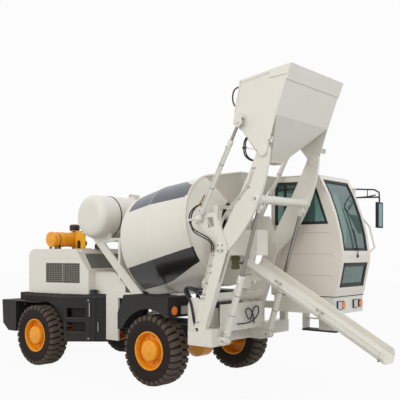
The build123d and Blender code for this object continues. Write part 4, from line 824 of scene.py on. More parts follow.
def intake_bracket():
    """Folded yellow plate beside the air cleaner, with an arched hole for the intake hose."""
    shape = Shape()
    arch = [(-1340, 2282)] + [(-1285 - 55 * cos(pi * i / 10), 2400 + 55 * sin(pi * i / 10))
                              for i in range(11)] + [(-1230, 2282)]
    panels = [[(-1381, 2282), (-1381, 2646), (-1340, 2638), (-1340, 2282)],
              [(-1340, 2455), (-1340, 2638), (-1230, 2617), (-1230, 2455)],
              [(-1230, 2282), (-1230, 2617), (-1085, 2590), (-1085, 2282)]]
    panels += [[arch[i], arch[i + 1], (arch[i + 1][0], 2455), (arch[i][0], 2455)]
               for i in range(1, 11)]
    for panel in panels:
        shape.side_plate(panel, -430, -418)
    shape.box((-1391, -430, 2282), (-1379, -260, 2646))
    shape.box((-1391, -450, 2282), (-1085, -260, 2290))
    shape.slot = 1
    shape.side_plate(arch, -417, -411)
    shape.bar([(-1285, -275, 2380), (-1320, -240, 2400), (-1420, -230, 2440)], 48, 18)
    shape.slot = 2
    for x, z in ((-1360, 2320), (-1110, 2320), (-1110, 2550), (-1360, 2600)):
        shape.bolt((x, -430, z), (0, -1, 0), 20)
    shape.piece("intake_bracket", "machine_body",
                ["yellow_enamel", "hose_rubber", "zinc_plate"], bevel=1)


# ---------------------------------------------------------------- tank, drum and hopper
tank_x, tank_z = -380, 2890


def tank_straps():
    """Rubber-lined hold-down straps, weld seams, filler and hand rail of the water tank."""
    shape = Shape()
    straps, welds, filler_y = (-480, 480), (-800, 0, 800), 250
    for y in straps:
        shape.turned((tank_x, y, tank_z), (0, 1, 0), ring(11, 405, 6), 72)
    shape.slot = 1
    for y in welds:
        shape.turned((tank_x, y, tank_z), (0, 1, 0),
                     [(-4, 404), (-3, 406.5), (3, 406.5), (4, 404), (-4, 404)], 72)
    shape.turned((tank_x, filler_y, 3290), (0, 0, 1), [(0, 110), (34, 110), (38, 104), (38, 0)], 36)
    shape.turned((tank_x, filler_y, 3328), (0, 0, 1), [(0, 118), (14, 118), (22, 100), (26, 0)], 36)
    shape.slot = 2
    shape.bar([(tank_x, filler_y - 120, 3340), (tank_x, filler_y - 120, 3362),
               (tank_x, filler_y + 120, 3362), (tank_x, filler_y + 120, 3340)], 8, 8)
    for y in straps:
        for x in (tank_x - 300, tank_x + 300):
            shape.bolt((x, y, 2608), (0, 0, -1), 24)
            shape.bar([(x, y, 2625), (x, y, 2560)], 9, 8)
    shape.piece("tank_straps_filler", "machine_body",
                ["gasket_rubber", "cream_enamel", "zinc_plate"])


def along_drum(distance, radius, angle):
    """A point on the drum by distance along its axis, radius and angle about it."""
    across = radius * cos(angle)
    return Vector((drum_joint[0] + distance * cos(drum_lean) - across * sin(drum_lean),
                   radius * sin(angle),
                   drum_joint[2] + distance * sin(drum_lean) + across * cos(drum_lean)))


def drum_dress():
    """Weld beads, rear flange bolts, hatch and the spiral blades in the drum."""
    shape = Shape()
    for distance, radius in ((-662, 972), (0, 1011), (927, 952)):
        shape.turned(along_drum(distance, 0, 0), drum_axis,
                     [(-7, radius - 4), (-5, radius + 2.5), (5, radius + 2.5), (7, radius - 4),
                      (-7, radius - 4)], 96)
    shape.turned(along_drum(1220, 0, 0), drum_axis,
                 [(-16, 436), (-16, 452), (2, 452), (2, 428), (-16, 436)], 72)
    # The hatch's frame: distances along the drum, and angles from the hatch's own
    hatch, hatch_middle, front_radius, front_taper = 2.4, 330, 1011, 0.064
    corners = [(-150, -0.16), (150, -0.16), (150, 0.16), (-150, 0.16)]
    for first, second in zip(corners, corners[1:] + corners[:1]):
        places = []
        for step in range(7):
            s = first[0] + (second[0] - first[0]) * step / 6 + hatch_middle
            a = hatch + first[1] + (second[1] - first[1]) * step / 6
            places.append(along_drum(s, front_radius - front_taper * s + 3, a))
        shape.bar(places, 9, 8)
    shape.slot = 1
    for angle in around(12):
        shape.bolt(along_drum(-850, 250, angle), -Vector(drum_axis), 30)
    for number in range(10):
        s = 180 + 300 * (number % 2)
        a = hatch + (-0.2 + 0.1 * (number // 2))
        shape.bolt(along_drum(s, front_radius - front_taper * s, a),
                   along_drum(s, 1, a) - along_drum(s, 0, 0), 22)
    shape.slot = 0
    # Two spiral blades of 1.6 turns, just inside the drum's rear cone, long cone and front cone
    steps, turns, cone_front = 120, 1.6, 920
    for start in (0, pi):
        rings = []
        for step in range(steps):
            s = -600 + 1800 * step / (steps - 1)
            shell = 960 + (s + 662) * 0.059 if s < 0 else 999 - s * 0.0636
            if s > cone_front:
                shell = 915 - (s - cone_front) * 1.738
            angle = start + 2 * pi * turns * step / (steps - 1)
            inner = max(200, shell - (230 if s < 900 else 230 - (s - 900) * 0.35))
            rings.append([along_drum(s - 4, shell, angle), along_drum(s + 4, shell, angle),
                          along_drum(s + 4, inner, angle), along_drum(s - 4, inner, angle)])
        shape.skin(rings, closed_ends=True)
    shape.piece("drum_welds_blades", "mixing_drum", ["drum_enamel", "zinc_plate"], smooth=30)


def hopper_dress():
    """Rolled rim, stiffeners and bolts of the feed hopper, and the pump under its tray."""
    shape = Shape()
    top = [(2460, -980), (3180, -980), (3180, 30), (2460, 30)]
    shape.rim([(x, y, 3424) for x, y in inset(top, -14)],
              [(x, y, 3424) for x, y in inset(top, 2)], (0, 0, 16))
    for y, foot_y in ((-760, -520), (-330, -230)):
        shape.prism([(3180, y, 3424), (3194, y, 3424), (2775, foot_y, 3010), (2761, foot_y, 3010)],
                    (0, 10, 0))
    neck = [(2460, -280), (2760, -280), (2760, 120), (2460, 120)]
    shape.rim([(x, y, 2992) for x, y in inset(neck, -12)],
              [(x, y, 2992) for x, y in inset(neck, 1)], (0, 0, 16))
    shape.slot = 1
    for x in (2500, 2620, 2720):
        shape.bolt((x, -291, 3000), (0, -1, 0), 18)
    shape.slot = 2
    shape.turned((2600, -340, 2166), (0, 0, -1),
                 [(0, 52), (20, 52), (24, 74), (90, 78), (96, 62), (170, 62), (176, 74), (226, 70),
                  (236, 40), (236, 0)], 32)
    shape.bar([(2600, -300, 2030), (2600, -120, 2030), (2560, -40, 2060), (2520, 80, 2060)], 20, 14)
    shape.piece("hopper_rim_pump", "machine_body",
                ["cream_enamel", "zinc_plate", "olive_enamel"], bevel=1.5)


# ---------------------------------------------------------------- cab
# The front of the cab's side profile, from the roof down: (x, z)
cab_front = [(3719, 3480), (3880, 3160), (4000, 2840), (4090, 2500), (4138, 2178), (4131, 2061),
             (4040, 1600)]
screen_y = (496, 1334)     # the windscreen's two sides


def on_front(z, out):
    """A point (x, z) at a height on the cab's curved front, and out of it."""
    for (x0, z0), (x1, z1) in zip(cab_front, cab_front[1:]):
        if z >= z1:
            break
    run = Vector((x1 - x0, z1 - z0)).normalized()
    return x0 + (x1 - x0) * (z - z0) / (z1 - z0) - run.y * out, z + run.x * out


def front_band(shape, heights, y, out):
    """A band that follows the cab's front through the given heights."""
    rings = []
    for z in heights:
        (x_in, z_in), (x_out, z_out) = on_front(z, out[0]), on_front(z, out[1])
        rings.append([Vector((x_in, y[0], z_in)), Vector((x_in, y[1], z_in)),
                      Vector((x_out, y[1], z_out)), Vector((x_out, y[0], z_out))])
    shape.skin(rings, closed_ends=True)


def window_gaskets():
    """Rubber gaskets of the windscreen, lower window, side window and rear window."""
    shape = Shape()
    tall = [3404, 3280, 3160, 3000, 2840, 2670, 2500, 2360, 2238]
    low = [2044, 1950, 1850, 1750, 1646]
    for heights, wide in ((tall, 44), (low, 58)):
        for steps, y in ((heights, (screen_y[0], screen_y[0] + wide)),
                         (heights, (screen_y[1] - wide, screen_y[1])),
                         ([heights[0], heights[0] - wide], screen_y),
                         ([heights[-1] + wide, heights[-1]], screen_y)):
            front_band(shape, steps, y, (-13, 2.5))
    side = [(2880, 2675), (3885, 2675), (3670, 3270), (3570, 3370), (2880, 3400)]
    inner = inset(side, 42)
    shape.rim([(x, 417, z) for x, z in inset(side, -3)], [(x, 417, z) for x, z in inner],
              (0, 22, 0))
    for x0, x1, depth in ((3052, 3092, 26), (3330, 3352, 20)):
        shape.box((x0, 420, 2700), (x1, 420 + depth, 3360))
    shape.box((2910, 421, 3262), (3640, 436, 3280))
    rear = [(535, 2495), (1295, 2495), (1295, 3305), (535, 3305)]
    shape.rim([(2797, y, z) for y, z in rear], [(2797, y, z) for y, z in inset(rear, 36)],
              (22, 0, 0))
    shape.slot = 1
    for x in (3004, 3400):
        shape.box((x, 423, 2712), (x + 10, 433, 3262))
    shape.piece("cab_window_gaskets", "machine_body", ["gasket_rubber", "zinc_plate"], bevel=1)


def door_gasket():
    """Gasket, seam and handle plate of the cab door."""
    shape = Shape()
    window = [(3040, 2300), (3740, 2300), (3740, 2680), (3550, 3270), (3040, 3310)]
    shape.rim([(x, 1401, z) for x, z in inset(window, -4)],
              [(x, 1401, z) for x, z in inset(window, 40)], (0, 22, 0))
    door = [(2960, 1560), (3820, 1560), (3820, 2700), (3600, 3340), (2960, 3390)]
    shape.rim([(x, 1378, z) for x, z in inset(door, 14)],
              [(x, 1378, z) for x, z in inset(door, 30)], (0, 6, 0))
    shape.slot = 1
    shape.box((2998, 1419, 2165), (3132, 1423, 2230))
    shape.turned((3060, 1422, 2130), (0, 1, 0), [(0, 14), (5, 14), (6, 4), (6, 0)], 20)
    shape.piece("cab_door_gasket", "left_cab_door", ["gasket_rubber", "zinc_plate"], bevel=1)


def cab_seams():
    """Pressed lines in the cab's side, door gap, skirt joint, roof gutter and roof hatch."""
    shape = Shape()
    # Painted shade: the pressed lines are thin grey bars that stand for the shadow in the pressings
    for z, end in ((2533, 3903), (2184, 3930), (1835, 3905)):
        shape.bar([(2870, 420, z), (end, 420, z), (end + 34, 420, z - 14),
                   (end + 50, 420, z - 60)], 2.6, 6)
        shape.bar([(2800, 500, z), (2800, 1340, z)], 2.6, 6)
    shape.slot = 1
    shape.box((2806, 416.5, 1488), (4004, 420, 1501))
    shape.box((3990, 419, 1488), (4012, 1421, 1501))
    shape.box((2806, 1420, 1488), (4004, 1423, 1501))
    shape.slot = 2
    for y in (416, 1424):
        shape.bar([(2800, y, 3420), (2876, y, 3494), (3716, y, 3474), (3872, y, 3166)], 9, 8)
    shape.prism([(3000, 640, 3497), (3520, 640, 3485), (3520, 1200, 3485), (3000, 1200, 3497)],
                (0, 0, 18))
    front_band(shape, [2150, 2132], (700, 1130), (0, 6))
    shape.box((3290, 1178, 850), (3606, 1183, 1478))
    shape.slot = 3
    shape.box((2956, 1176, 826), (3606, 1421, 852))
    shape.box((2948, 1172, 820), (3614, 1422, 828))
    shape.piece("cab_seams_gutters", "machine_body",
                ["seam_shade_grey", "gasket_rubber", "cream_enamel", "tread_plate"], bevel=0.8)


def wiper():
    """Wiper arm, blade and its drive cover below the windscreen."""
    shape = Shape()
    pivot = on_front(2150, 14)
    shape.turned((pivot[0] - 22, 938, pivot[1]), (1, 0, 0.1),
                 [(0, 26), (26, 26), (34, 18), (36, 0)], 20)
    arm = [(pivot[0], 938, pivot[1])]
    for z, y in ((2220, 928), (2400, 905), (2590, 884)):
        place = on_front(z, 26)
        arm.append((place[0], y, place[1]))
    shape.bar(arm, 8, 8)
    blade = []
    for z in (2262, 2400, 2500, 2600, 2700, 2840, 2950):
        place = on_front(z, 13)
        blade.append((place[0], 930 - (z - 2262) * 0.152, place[1]))
    shape.bar(blade, 8, 8)
    shape.piece("windscreen_wiper", "machine_body", ["gasket_rubber"])


def cab_furniture():
    """Dashboard, levers, pedals, mat, side lining and sun blind inside the cab."""
    shape = Shape()
    shape.side_plate([(3905, 1545), (3990, 1545), (4060, 1980), (4040, 2120), (3890, 2190),
                      (3800, 2160), (3815, 2060), (3930, 1960)], 480, 800)
    shape.side_plate([(3940, 2080), (4076, 2060), (4070, 2180), (3900, 2215)], 800, 1360)
    shape.box((3050, 470, 1540), (3480, 620, 2050))
    shape.box((3050, 1220, 1540), (3420, 1330, 2000))
    shape.slot = 1
    shape.box((2850, 465, 1541), (3900, 1375, 1549))
    shape.box((2842, 465, 1560), (2852, 1375, 2490))
    shape.prism([(3560, 470, 3400), (3740, 470, 3300), (3740, 1370, 3300), (3560, 1370, 3400)],
                (0, 0, 12))
    shape.slot = 2
    for x, y in ((3300, 545), (3390, 545), (3300, 1275), (3390, 1275)):
        shape.bar([(x, y, 2010), (x + 20, y, 2170), (x + 34, y, 2260)], 8, 8)
        shape.turned((x + 32, y, 2250), (0.1, 0, 1),
                     [(0, 12), (10, 22), (44, 26), (62, 20), (70, 0)], 18)
    for y in (830, 1010):
        shape.bar([(3860, y, 1550), (3850, y, 1680), (3830, y, 1740)], 10, 8)
        shape.prism([(3790, y - 38, 1750), (3790, y + 38, 1750), (3842, y + 38, 1700),
                     (3842, y - 38, 1700)], (8, 0, 8))
    shape.piece("cab_furniture", "machine_body",
                ["black_abs", "cab_lining", "gasket_rubber"], bevel=4)


def padded_block(shape, middle, half, lean, grooves):
    """A crowned cushion: sides drawn in between its corners, and sewn channels across its face."""
    turn = Matrix.Rotation(radians(lean), 3, "Y")
    count = 25     # points across each of the block's six sides, which then bulge
    steps = [2 * i / (count - 1) - 1 for i in range(count)]
    loops = [(i * count + j, i * count + j + 1, (i + 1) * count + j + 1, (i + 1) * count + j)
             for i in range(count - 1) for j in range(count - 1)]
    for axis in range(3):
        for end in (-1.0, 1.0):
            points = []
            for unit in [[p, q] for p in steps for q in steps]:
                unit.insert(axis, end)
                soften = sum(abs(a) ** 7 for a in unit) ** (-1 / 7)
                u, v, w = (a * soften for a in unit)
                waist = 1 - 0.035 * (1 - u * u) * abs(v) ** 3
                crown = 1 - 0.22 * (abs(u) ** 3 + abs(v) ** 3) / 2
                dip = sum(0.10 * max(0.0, 1 - abs(v - place) / 0.09) for place in grooves)
                dip = dip * (1 - abs(u) ** 6) if w > 0 else 0
                place = Vector((u * half[0], v * half[1] * waist, w * half[2] * (crown - dip)))
                points.append(Vector(middle) + turn @ place)
            shape.faces(points, loops)
    bmesh.ops.remove_doubles(shape.mesh, verts=shape.mesh.verts, dist=0.1)


def driver_seat():
    """Cushion, backrest and headrest in grained vinyl on a suspension box."""
    seat = Shape()
    channels = (-0.5, 0.0, 0.5)
    padded_block(seat, (3255, 920, 1905), (238, 250, 62), 0, channels)
    padded_block(seat, (3050, 920, 2240), (330, 236, 52), -97, channels)
    padded_block(seat, (2995, 920, 2592), (60, 120, 36), -97, ())
    cushions = seat.piece("seat_cushions", "machine_body", ["seat_vinyl"], replaces=["seat"],
                          smooth=80)
    box = Shape()
    box.side_plate([(3060, 1541), (3420, 1541), (3400, 1660), (3440, 1850), (3060, 1850),
                    (3090, 1660)], 730, 1110)
    for z in range(1580, 1830, 34):
        box.box((3070, 724, z), (3410, 1116, z + 14))
    box.box((2990, 900, 1860), (3030, 940, 2360))
    box.piece("seat_suspension", "machine_body", ["black_abs"], bevel=5)


def mirror_dress():
    """Mirror glass and rim, the twin-tube arm and its clamps."""
    shape = Shape()
    outline = [(1528, 2640), (1712, 2640), (1712, 3060), (1528, 3060)]
    shape.rim([(4226, y, z) for y, z in outline], [(4226, y, z) for y, z in inset(outline, 18)],
              (10, 0, 0))
    shape.bar([(3790, 1412, 3300), (3880, 1500, 3306), (4130, 1600, 3290), (4205, 1620, 3240),
               (4210, 1620, 3062)], 13, 10)
    shape.bar([(3900, 1480, 3160), (4040, 1570, 3178), (4150, 1610, 3200)], 11, 10)
    shape.bar([(4020, 1560, 3180), (4020, 1562, 3296)], 8, 8)
    shape.slot = 1
    shape.box((4227, 1544, 2656), (4232, 1696, 3044))
    shape.slot = 2
    shape.box((3760, 1400, 3130), (3860, 1440, 3322))
    for z in (3160, 3290):
        shape.bolt((3800, 1440, z), (0, 1, 0), 20)
    shape.piece("mirror_arm_glass", "machine_body",
                ["black_abs", "mirror_glass", "cream_enamel"], bevel=2)


def lamp_bezels():
    """Bezels, flutes and screws of the front lamps, and the lamp clusters in the rear bumper."""
    shape = Shape()
    for side in (-1, 1):
        low, high = sorted((side * 842, side * 1058))
        lamp = [(low, 1194), (high, 1194), (high, 1350), (low, 1350)]
        shape.rim([(2000, y, z) for y, z in lamp], [(2000, y, z) for y, z in inset(lamp, 12)],
                  (28, 0, 0))
        shape.turned((2000, side * 1205, 1272), (1, 0, 0), [(0, 70), (0, 78), (22, 78), (24, 70),
                                                            (0, 70)], 36)
        shape.turned((2000, side * 1205, 1372), (1, 0, 0), [(0, 9), (6, 9), (8, 0)], 12)
        for y in (side * 1100, side * 800):
            shape.box((-2684, y - 34, 1094), (-2676, y + 34, 1204))
    for y in (570, 1120):
        lamp = [(y - 76, 1284), (y + 76, 1284), (y + 76, 1426), (y - 76, 1426)]
        shape.rim([(4000, a, z) for a, z in lamp], [(4000, a, z) for a, z in inset(lamp, 10)],
                  (27, 0, 0))
    shape.turned((4000, 1300, 1355), (1, 0, 0), [(0, 58), (0, 66), (22, 66), (24, 58), (0, 58)], 32)
    shape.turned((4000, 700, 1355), (1, 0, 0), [(0, 66), (20, 66), (22, 58), (22, 0)], 32)
    shape.slot = 1
    for side in (-1, 1):
        shape.box((-2692, side * 1100 - 26, 1150), (-2684, side * 1100 + 26, 1196))
        shape.turned((-2680, side * 1210, 900), (-1, 0, 0), [(0, 40), (8, 40), (10, 34), (12, 0)],
                     28)
    shape.slot = 2
    for side in (-1, 1):
        shape.box((-2692, side * 1100 - 26, 1102), (-2684, side * 1100 + 26, 1146))
    shape.turned((4022, 700, 1355), (1, 0, 0), [(0, 57), (4, 56), (7, 40), (8, 0)], 32)
    shape.slot = 3
    for side in (-1, 1):
        shape.box((-2692, side * 800 - 26, 1102), (-2684, side * 800 + 26, 1196))
    shape.piece("lamp_bezels_rear_lamps", "machine_body",
                ["black_abs", "red_acrylic", "amber_acrylic", "clear_acrylic"], bevel=1.5)


# ---------------------------------------------------------------- loader and chute
# Pins of the loader as (x, z), and their places across from its middle plane
loader_y = -475
pivot_x, pivot_z = 2965, 2279
tip_x, tip_z = 3731, 3672
tube_x, tube_z = 3592, 2995
lift_base, lift_top, lift_across = (2947, 852), (3573, 2875), 590
tilt_base, tilt_top, tilt_across = (2590, 2734), (3356, 4127), 796


def beside(side, distance):
    """A place across, at a distance from the loader's middle plane."""
    return loader_y + side * distance


def mast_dress():
    """Pin plates with bolts, horn ribs, edge clamps and the valve block of the loader mast."""
    shape = Shape()
    clamp_heights = (1120, 1500, 1900)

    def post_rear(z):
        """The mast's leaning rear edge at a height."""
        return 2440 + (z - 1030) * 0.315

    for side in (-1, 1):
        outward = Vector((0, side, 0))
        face = beside(side, 743)
        shape.turned((pivot_x, face, pivot_z), outward, [(0, 78), (5, 78), (8, 74), (8, 40)], 40)
        shape.turned((pivot_x, beside(side, 757), pivot_z), outward,
                     [(0, 40), (7, 40), (10, 35), (10, 0)], 32)
        low, high = sorted((face, face + side * 7))
        for start, end in (((2512, 2700), (2850, 2350)), ((2660, 2810), (2905, 2420))):
            start, end = Vector(start), Vector(end)
            run = (end - start).normalized() * 6
            wide = Vector((run.y, -run.x))
            shape.side_plate([tuple(p) for p in (start + wide, end + wide, end - wide,
                                                 start - wide)], low, high)
        for z in clamp_heights:
            rear = post_rear(z)
            shape.side_plate([(rear + 6, z - 34), (rear + 62, z - 34), (rear + 84, z + 34),
                              (rear + 28, z + 34)], low, high)
        shape.turned((2690, beside(side, 629), 1500), -outward,
                     [(0, 96), (12, 96), (18, 78), (18, 74)], 36)
    shape.side_plate([(2280, 890), (2280, 1390), (2340, 1500), (2500, 1500), (2600, 1400),
                      (2560, 890)], -1172, -1164)
    shape.box((2276, -1172, 900), (2288, -1100, 1380))
    shape.slot = 1
    for side in (-1, 1):
        outward = Vector((0, side, 0))
        for angle in around(4, 0.5):
            shape.bolt((pivot_x + 58 * cos(angle), beside(side, 751), pivot_z + 58 * sin(angle)),
                       outward, 20)
        for z in clamp_heights:
            for along in (24, 62):
                shape.bolt((post_rear(z) + along, beside(side, 750), z), outward, 17)
    for x, z in ((2821, 2167), (2780, 2010), (2700, 1740), (2650, 1560)):
        shape.box((x - 26, -1232, z - 14), (x + 26, -1217, z + 14))
        shape.bolt((x, -1232, z), (0, -1, 0), 16)
    shape.slot = 2
    shape.box((2642, -960, 1338), (2738, -590, 1428))
    for y in range(-930, -600, 55):
        shape.turned((2738, y, 1384), (1, 0, 0), [(0, 15), (16, 15), (20, 10), (34, 10), (34, 0)],
                     12)
    shape.slot = 3
    # Painted shade: a grey plate in the horn plate's cut-out, for the shaded plate seen through it
    shape.side_plate([(2713, 2749), (2821, 2753), (2845, 2615), (2737, 2587)], -1222, -1217.5)
    shape.piece("mast_pin_plates", "machine_body", ["cream_enamel", "zinc_plate", "cast_iron",
                                                    "seam_shade_grey"], bevel=1.5)


def on_cylinder(base, top, along, out=0.0):
    """A point (x, z) on a cylinder's line from its base pin, and out to the side of it."""
    run = (Vector(top) - Vector(base)).normalized()
    place = Vector(base) + run * along + Vector((-run.y, run.x)) * out
    return place.x, place.y


def barrel_dress(name, body, base, top, offset, reach, radius, eye):
    """Gland, weld rings, port blocks and steel feed pipe of a pair of cylinder barrels."""
    shape = Shape()
    (x0, z0), (x1, z1) = on_cylinder(base, top, 0), on_cylinder(base, top, 1)
    axis = Vector((x1 - x0, 0, z1 - z0))
    for side in (-1, 1):
        y = beside(side, offset)
        foot = Vector((x0, y, z0))
        shape.slot = 0
        shape.turned(foot + axis * (reach - 66), axis, [(0, radius - 1), (0, radius + 5),
                                                        (58, radius + 5), (64, radius - 1),
                                                        (0, radius - 1)], 32)
        shape.turned(foot + axis * 96, axis, [(-6, radius - 3), (-2, radius + 3), (16, radius + 3),
                                              (20, radius - 1)], 32)
        shape.turned((x0, y - eye, z0), (0, 1, 0), [(-1, 34), (-1, 44), (2, 48), (2, 34), (-1, 34)],
                     28)
        for along in (130, reach - 110):
            place = on_cylinder(base, top, along)
            shape.turned((place[0], y + side * (radius - 4), place[1]), (0, side, 0),
                         [(0, 19), (16, 19), (18, 14), (18, 0)], 8)
        shape.slot = 1
        for along in (130, reach - 110):
            place = on_cylinder(base, top, along)
            shape.turned((place[0], y + side * (radius + 12), place[1]), (0, side, 0),
                         [(0, 13), (14, 13), (14, 0)], 6)
        for along in (reach * 0.4, reach * 0.7):
            place = on_cylinder(base, top, along)
            shape.turned((place[0], y, place[1]), axis, ring(9, radius, 2), 32)
    shape.piece(name, body, ["cream_enamel", "zinc_plate"], bevel=1)
    # The feed pipe: distances along the barrel, aside in its own plane, and out from its surface
    stations = ((reach - 110, 0, 4), (reach - 118, 0, 13), (reach - 180, 0, 13), (260, 0, 13),
                (180, 12, 13))
    routes = []
    for side in (-1, 1):
        places = [(on_cylinder(base, top, along, aside), out) for along, aside, out in stations]
        routes.append([(x, beside(side, offset + radius + out), z) for (x, z), out in places])
    hoses(f"{name}_pipe", body, "cream_enamel", 7, routes)


def rod_eyes(name, body, base, top, offset, half, radius):
    """Painted eyes and wiper seals at the ends of a pair of rods."""
    shape = Shape()
    for side in (-1, 1):
        y = beside(side, offset)
        shape.turned((top[0], y, top[1]), (0, 1, 0), [(-half - 1, radius - 16), (-half - 1, radius),
                                                      (-half + 3, radius + 1.5),
                                                      (half - 3, radius + 1.5), (half + 1, radius),
                                                      (half + 1, radius - 16),
                                                      (-half - 1, radius - 16)], 36)
        low, high = on_cylinder(top, base, radius - 4), on_cylinder(top, base, radius + 34)
        shape.bar([(low[0], y, low[1]), (high[0], y, high[1])], radius * 0.66, 20)
    shape.piece(name, body, ["cream_enamel"], bevel=1)


def arm_dress():
    """Bosses, tube collars and pipe clamps of the loader arms."""
    shape = Shape()
    for side in (-1, 1):
        outward = Vector((0, side, 0))
        shape.turned((tip_x, beside(side, 725), tip_z), outward,
                     [(0, 88), (3, 88), (5, 84), (5, 42)], 40)
        shape.turned((tube_x, beside(side, 675), tube_z), -outward,
                     [(-2, 92), (8, 92), (14, 70), (14, 64)], 40)
        shape.turned((tube_x, beside(side, 725), tube_z), outward,
                     [(0, 68), (3, 68), (5, 62), (5, 0)], 36)
        for edge in (-1, 1):
            shape.turned((tube_x, beside(side, lift_across + edge * 52), tube_z), (0, 1, 0),
                         [(-8, 64), (-6, 71), (6, 71), (8, 64), (-8, 64)], 36)
    shape.slot = 1
    for x, z in ((3568, 3440), (3470, 3170), (3300, 3010), (3130, 2850)):
        shape.box((x - 30, -1214, z - 10), (x + 30, -1199, z + 10))
        shape.bolt((x, -1214, z), (0, -1, 0), 14)
    for side in (-1, 1):
        shape.bolt((tube_x, beside(side, 729), tube_z), Vector((0, side, 0)), 26)
    shape.piece("arm_bosses_collars", "loader_arms", ["cream_enamel", "zinc_plate"], bevel=1.5)


def bucket_dress():
    """Folded rim bands, corner ribs and patches, ear bosses and stop blocks of the bucket."""
    shape = Shape()
    # Corners of the bucket's side as (x, z)
    rim_rear, rim_front = Vector((3344, 4749)), Vector((4220, 4852))
    fold, back_low = Vector((3963, 4168)), Vector((3233, 4301))

    def strip(start, end, aside, low, high):
        """A flat strip along a line of the side, as wide as a vector."""
        shape.side_plate([tuple(p) for p in (start, end, end + aside, start + aside)], low, high)

    for side in (-1, 1):
        low, high = sorted((beside(side, 748), beside(side, 757)))
        run = (rim_front - rim_rear).normalized()
        down = Vector((run.y, -run.x)) * 38
        shape.side_plate([tuple(rim_rear), tuple(rim_front), tuple(rim_front + down - run * 12),
                          tuple(rim_rear + down + run * 8)], low, high)
        for start, end in ((rim_front, fold), (rim_rear, back_low)):
            step = (end - start).normalized()
            aside = Vector((-step.y, step.x)) * (22 if end is back_low else -22)
            strip(start + step * 12, end, aside, low, high - 5 if side > 0 else high)
        shape.side_plate([(3840, 3800), (3905, 3775), (3925, 3850), (3862, 3872)], low,
                         high + (12 if side > 0 else 0))
        face = beside(side, 852)
        shape.turned((tilt_top[0], face, tilt_top[1]), (0, side, 0),
                     [(0, 34), (5, 34), (8, 30), (8, 0)], 28)
        shape.turned((tip_x, beside(side, 749), tip_z), (0, side, 0),
                     [(0, 78), (4, 78), (6, 74), (6, 58)], 36)
        rim, drop = (rim_rear - rim_front).normalized(), (fold - rim_front).normalized()
        patch = [(0, 0), (423, 0), (423, 24), (350, 36), (310, 125), (0, 150)]
        outer = high + 5 if side > 0 else low - 5
        shape.side_plate([tuple(rim_front + rim * back + drop * down) for back, down in patch],
                         *sorted((beside(side, 750), outer)))
    for start, end, first, last, out in ((rim_rear, back_low, 0, 60, 12),
                                         (rim_front, fold, 0, 226, -12)):
        step = (end - start).normalized()
        aside = Vector((step.y, -step.x)) * out
        strip(start + step * first, start + step * last, aside, loader_y - 755, loader_y + 755)
    step = (back_low - rim_rear).normalized()
    for y in (-1040, loader_y, 90):
        strip(rim_rear + step * 40, back_low, Vector((step.y, -step.x)) * 12, y - 6, y + 6)
    shape.slot = 1
    for side in (-1, 1):
        for x, z in ((3858, 3812), (3894, 3842)):
            shape.bolt((x, beside(side, 757), z), (0, side, 0), 20)
    shape.piece("bucket_rim_ribs", "loader_bucket", ["cream_enamel", "zinc_plate"], bevel=1.5)


def gate_dress():
    """Stiffeners and hinge pin ends of the bucket's outlet gate."""
    shape = Shape()
    for y in (-600, -475, -350):
        shape.box((3344, y - 5, 3580), (3500, y + 5, 3598))
    shape.slot = 1
    for side in (-1, 1):
        shape.turned((3327, beside(side, 166), 3598), (0, side, 0),
                     [(0, 15), (4, 15), (6, 12), (6, 0)], 18)
    shape.piece("gate_stiffeners", "bucket_outlet_gate", ["cream_enamel", "zinc_plate"], bevel=1)


def on_chute(along, aside, up):
    """A point on the chute: along it from its head, across it, and up from its top edges."""
    level, drop = 0.8683, 0.4960     # the chute's run and fall for each millimetre along it
    return Vector((3080 + level * along + drop * up, loader_y + aside,
                   2130 - drop * along + level * up))


def chute_dress():
    """Rolled top edges, joint bands, hooks and the keel under the chute's three lengths."""
    shape = Shape()
    for start, end, half, depth in ((0, 700, 216, 166), (680, 1500, 208, 158),
                                    (1480, 2535, 200, 150)):
        for side in (-1, 1):
            shape.bar([on_chute(start, side * (half - 3), 1), on_chute(end, side * (half - 3), 1)],
                      10, 12)
        chamfer = 70
        outline = [(-half, 2), (-half, chamfer - depth), (chamfer - half, -depth),
                   (half - chamfer, -depth), (half, chamfer - depth), (half, 2)]
        for place in (start + 4, end - 26):
            rings = []
            for number, (aside, up) in enumerate(outline):
                out = Vector((aside, up + depth / 2)).normalized() * 7
                if number in (0, 5):
                    out = Vector((7 if aside > 0 else -7, 0))
                rings.append([on_chute(place, aside, up), on_chute(place + 22, aside, up),
                              on_chute(place + 22, aside + out.x, up + out.y),
                              on_chute(place, aside + out.x, up + out.y)])
            shape.skin(rings, closed_ends=True)
    for start, end, depth in ((500, 680, 166), (740, 1470, 158), (1530, 2500, 150)):
        shape.skin([[on_chute(s, -16, -depth), on_chute(s, 16, -depth),
                     on_chute(s, 16, -depth - 14), on_chute(s, -16, -depth - 14)]
                    for s in (start, end)], closed_ends=True)
    shape.slot = 1
    for place, half in ((690, 224), (1490, 216)):
        for side in (-1, 1):
            ends = [on_chute(place + along, side * half, -34) for along in (-46, 46)]
            shape.bar(ends, 8, 8)
            for pin in ends:
                shape.bolt(pin, (0, side, 0), 22)
    shape.slot = 2
    shape.skin([[on_chute(s, -190, -150), on_chute(s, 190, -150), on_chute(s, 190, -143),
                 on_chute(s, -190, -143)] for s in (2544, 2560)], closed_ends=True)
    shape.turned((2985, loader_y, 1860), (0, 0, 1), [(0, 74), (0, 82), (-6, 82), (-6, 74), (0, 74)],
                 32)
    shape.piece("chute_edges_hooks", "discharge_chute", ["cream_enamel", "zinc_plate",
                                                         "gasket_rubber"], bevel=1)


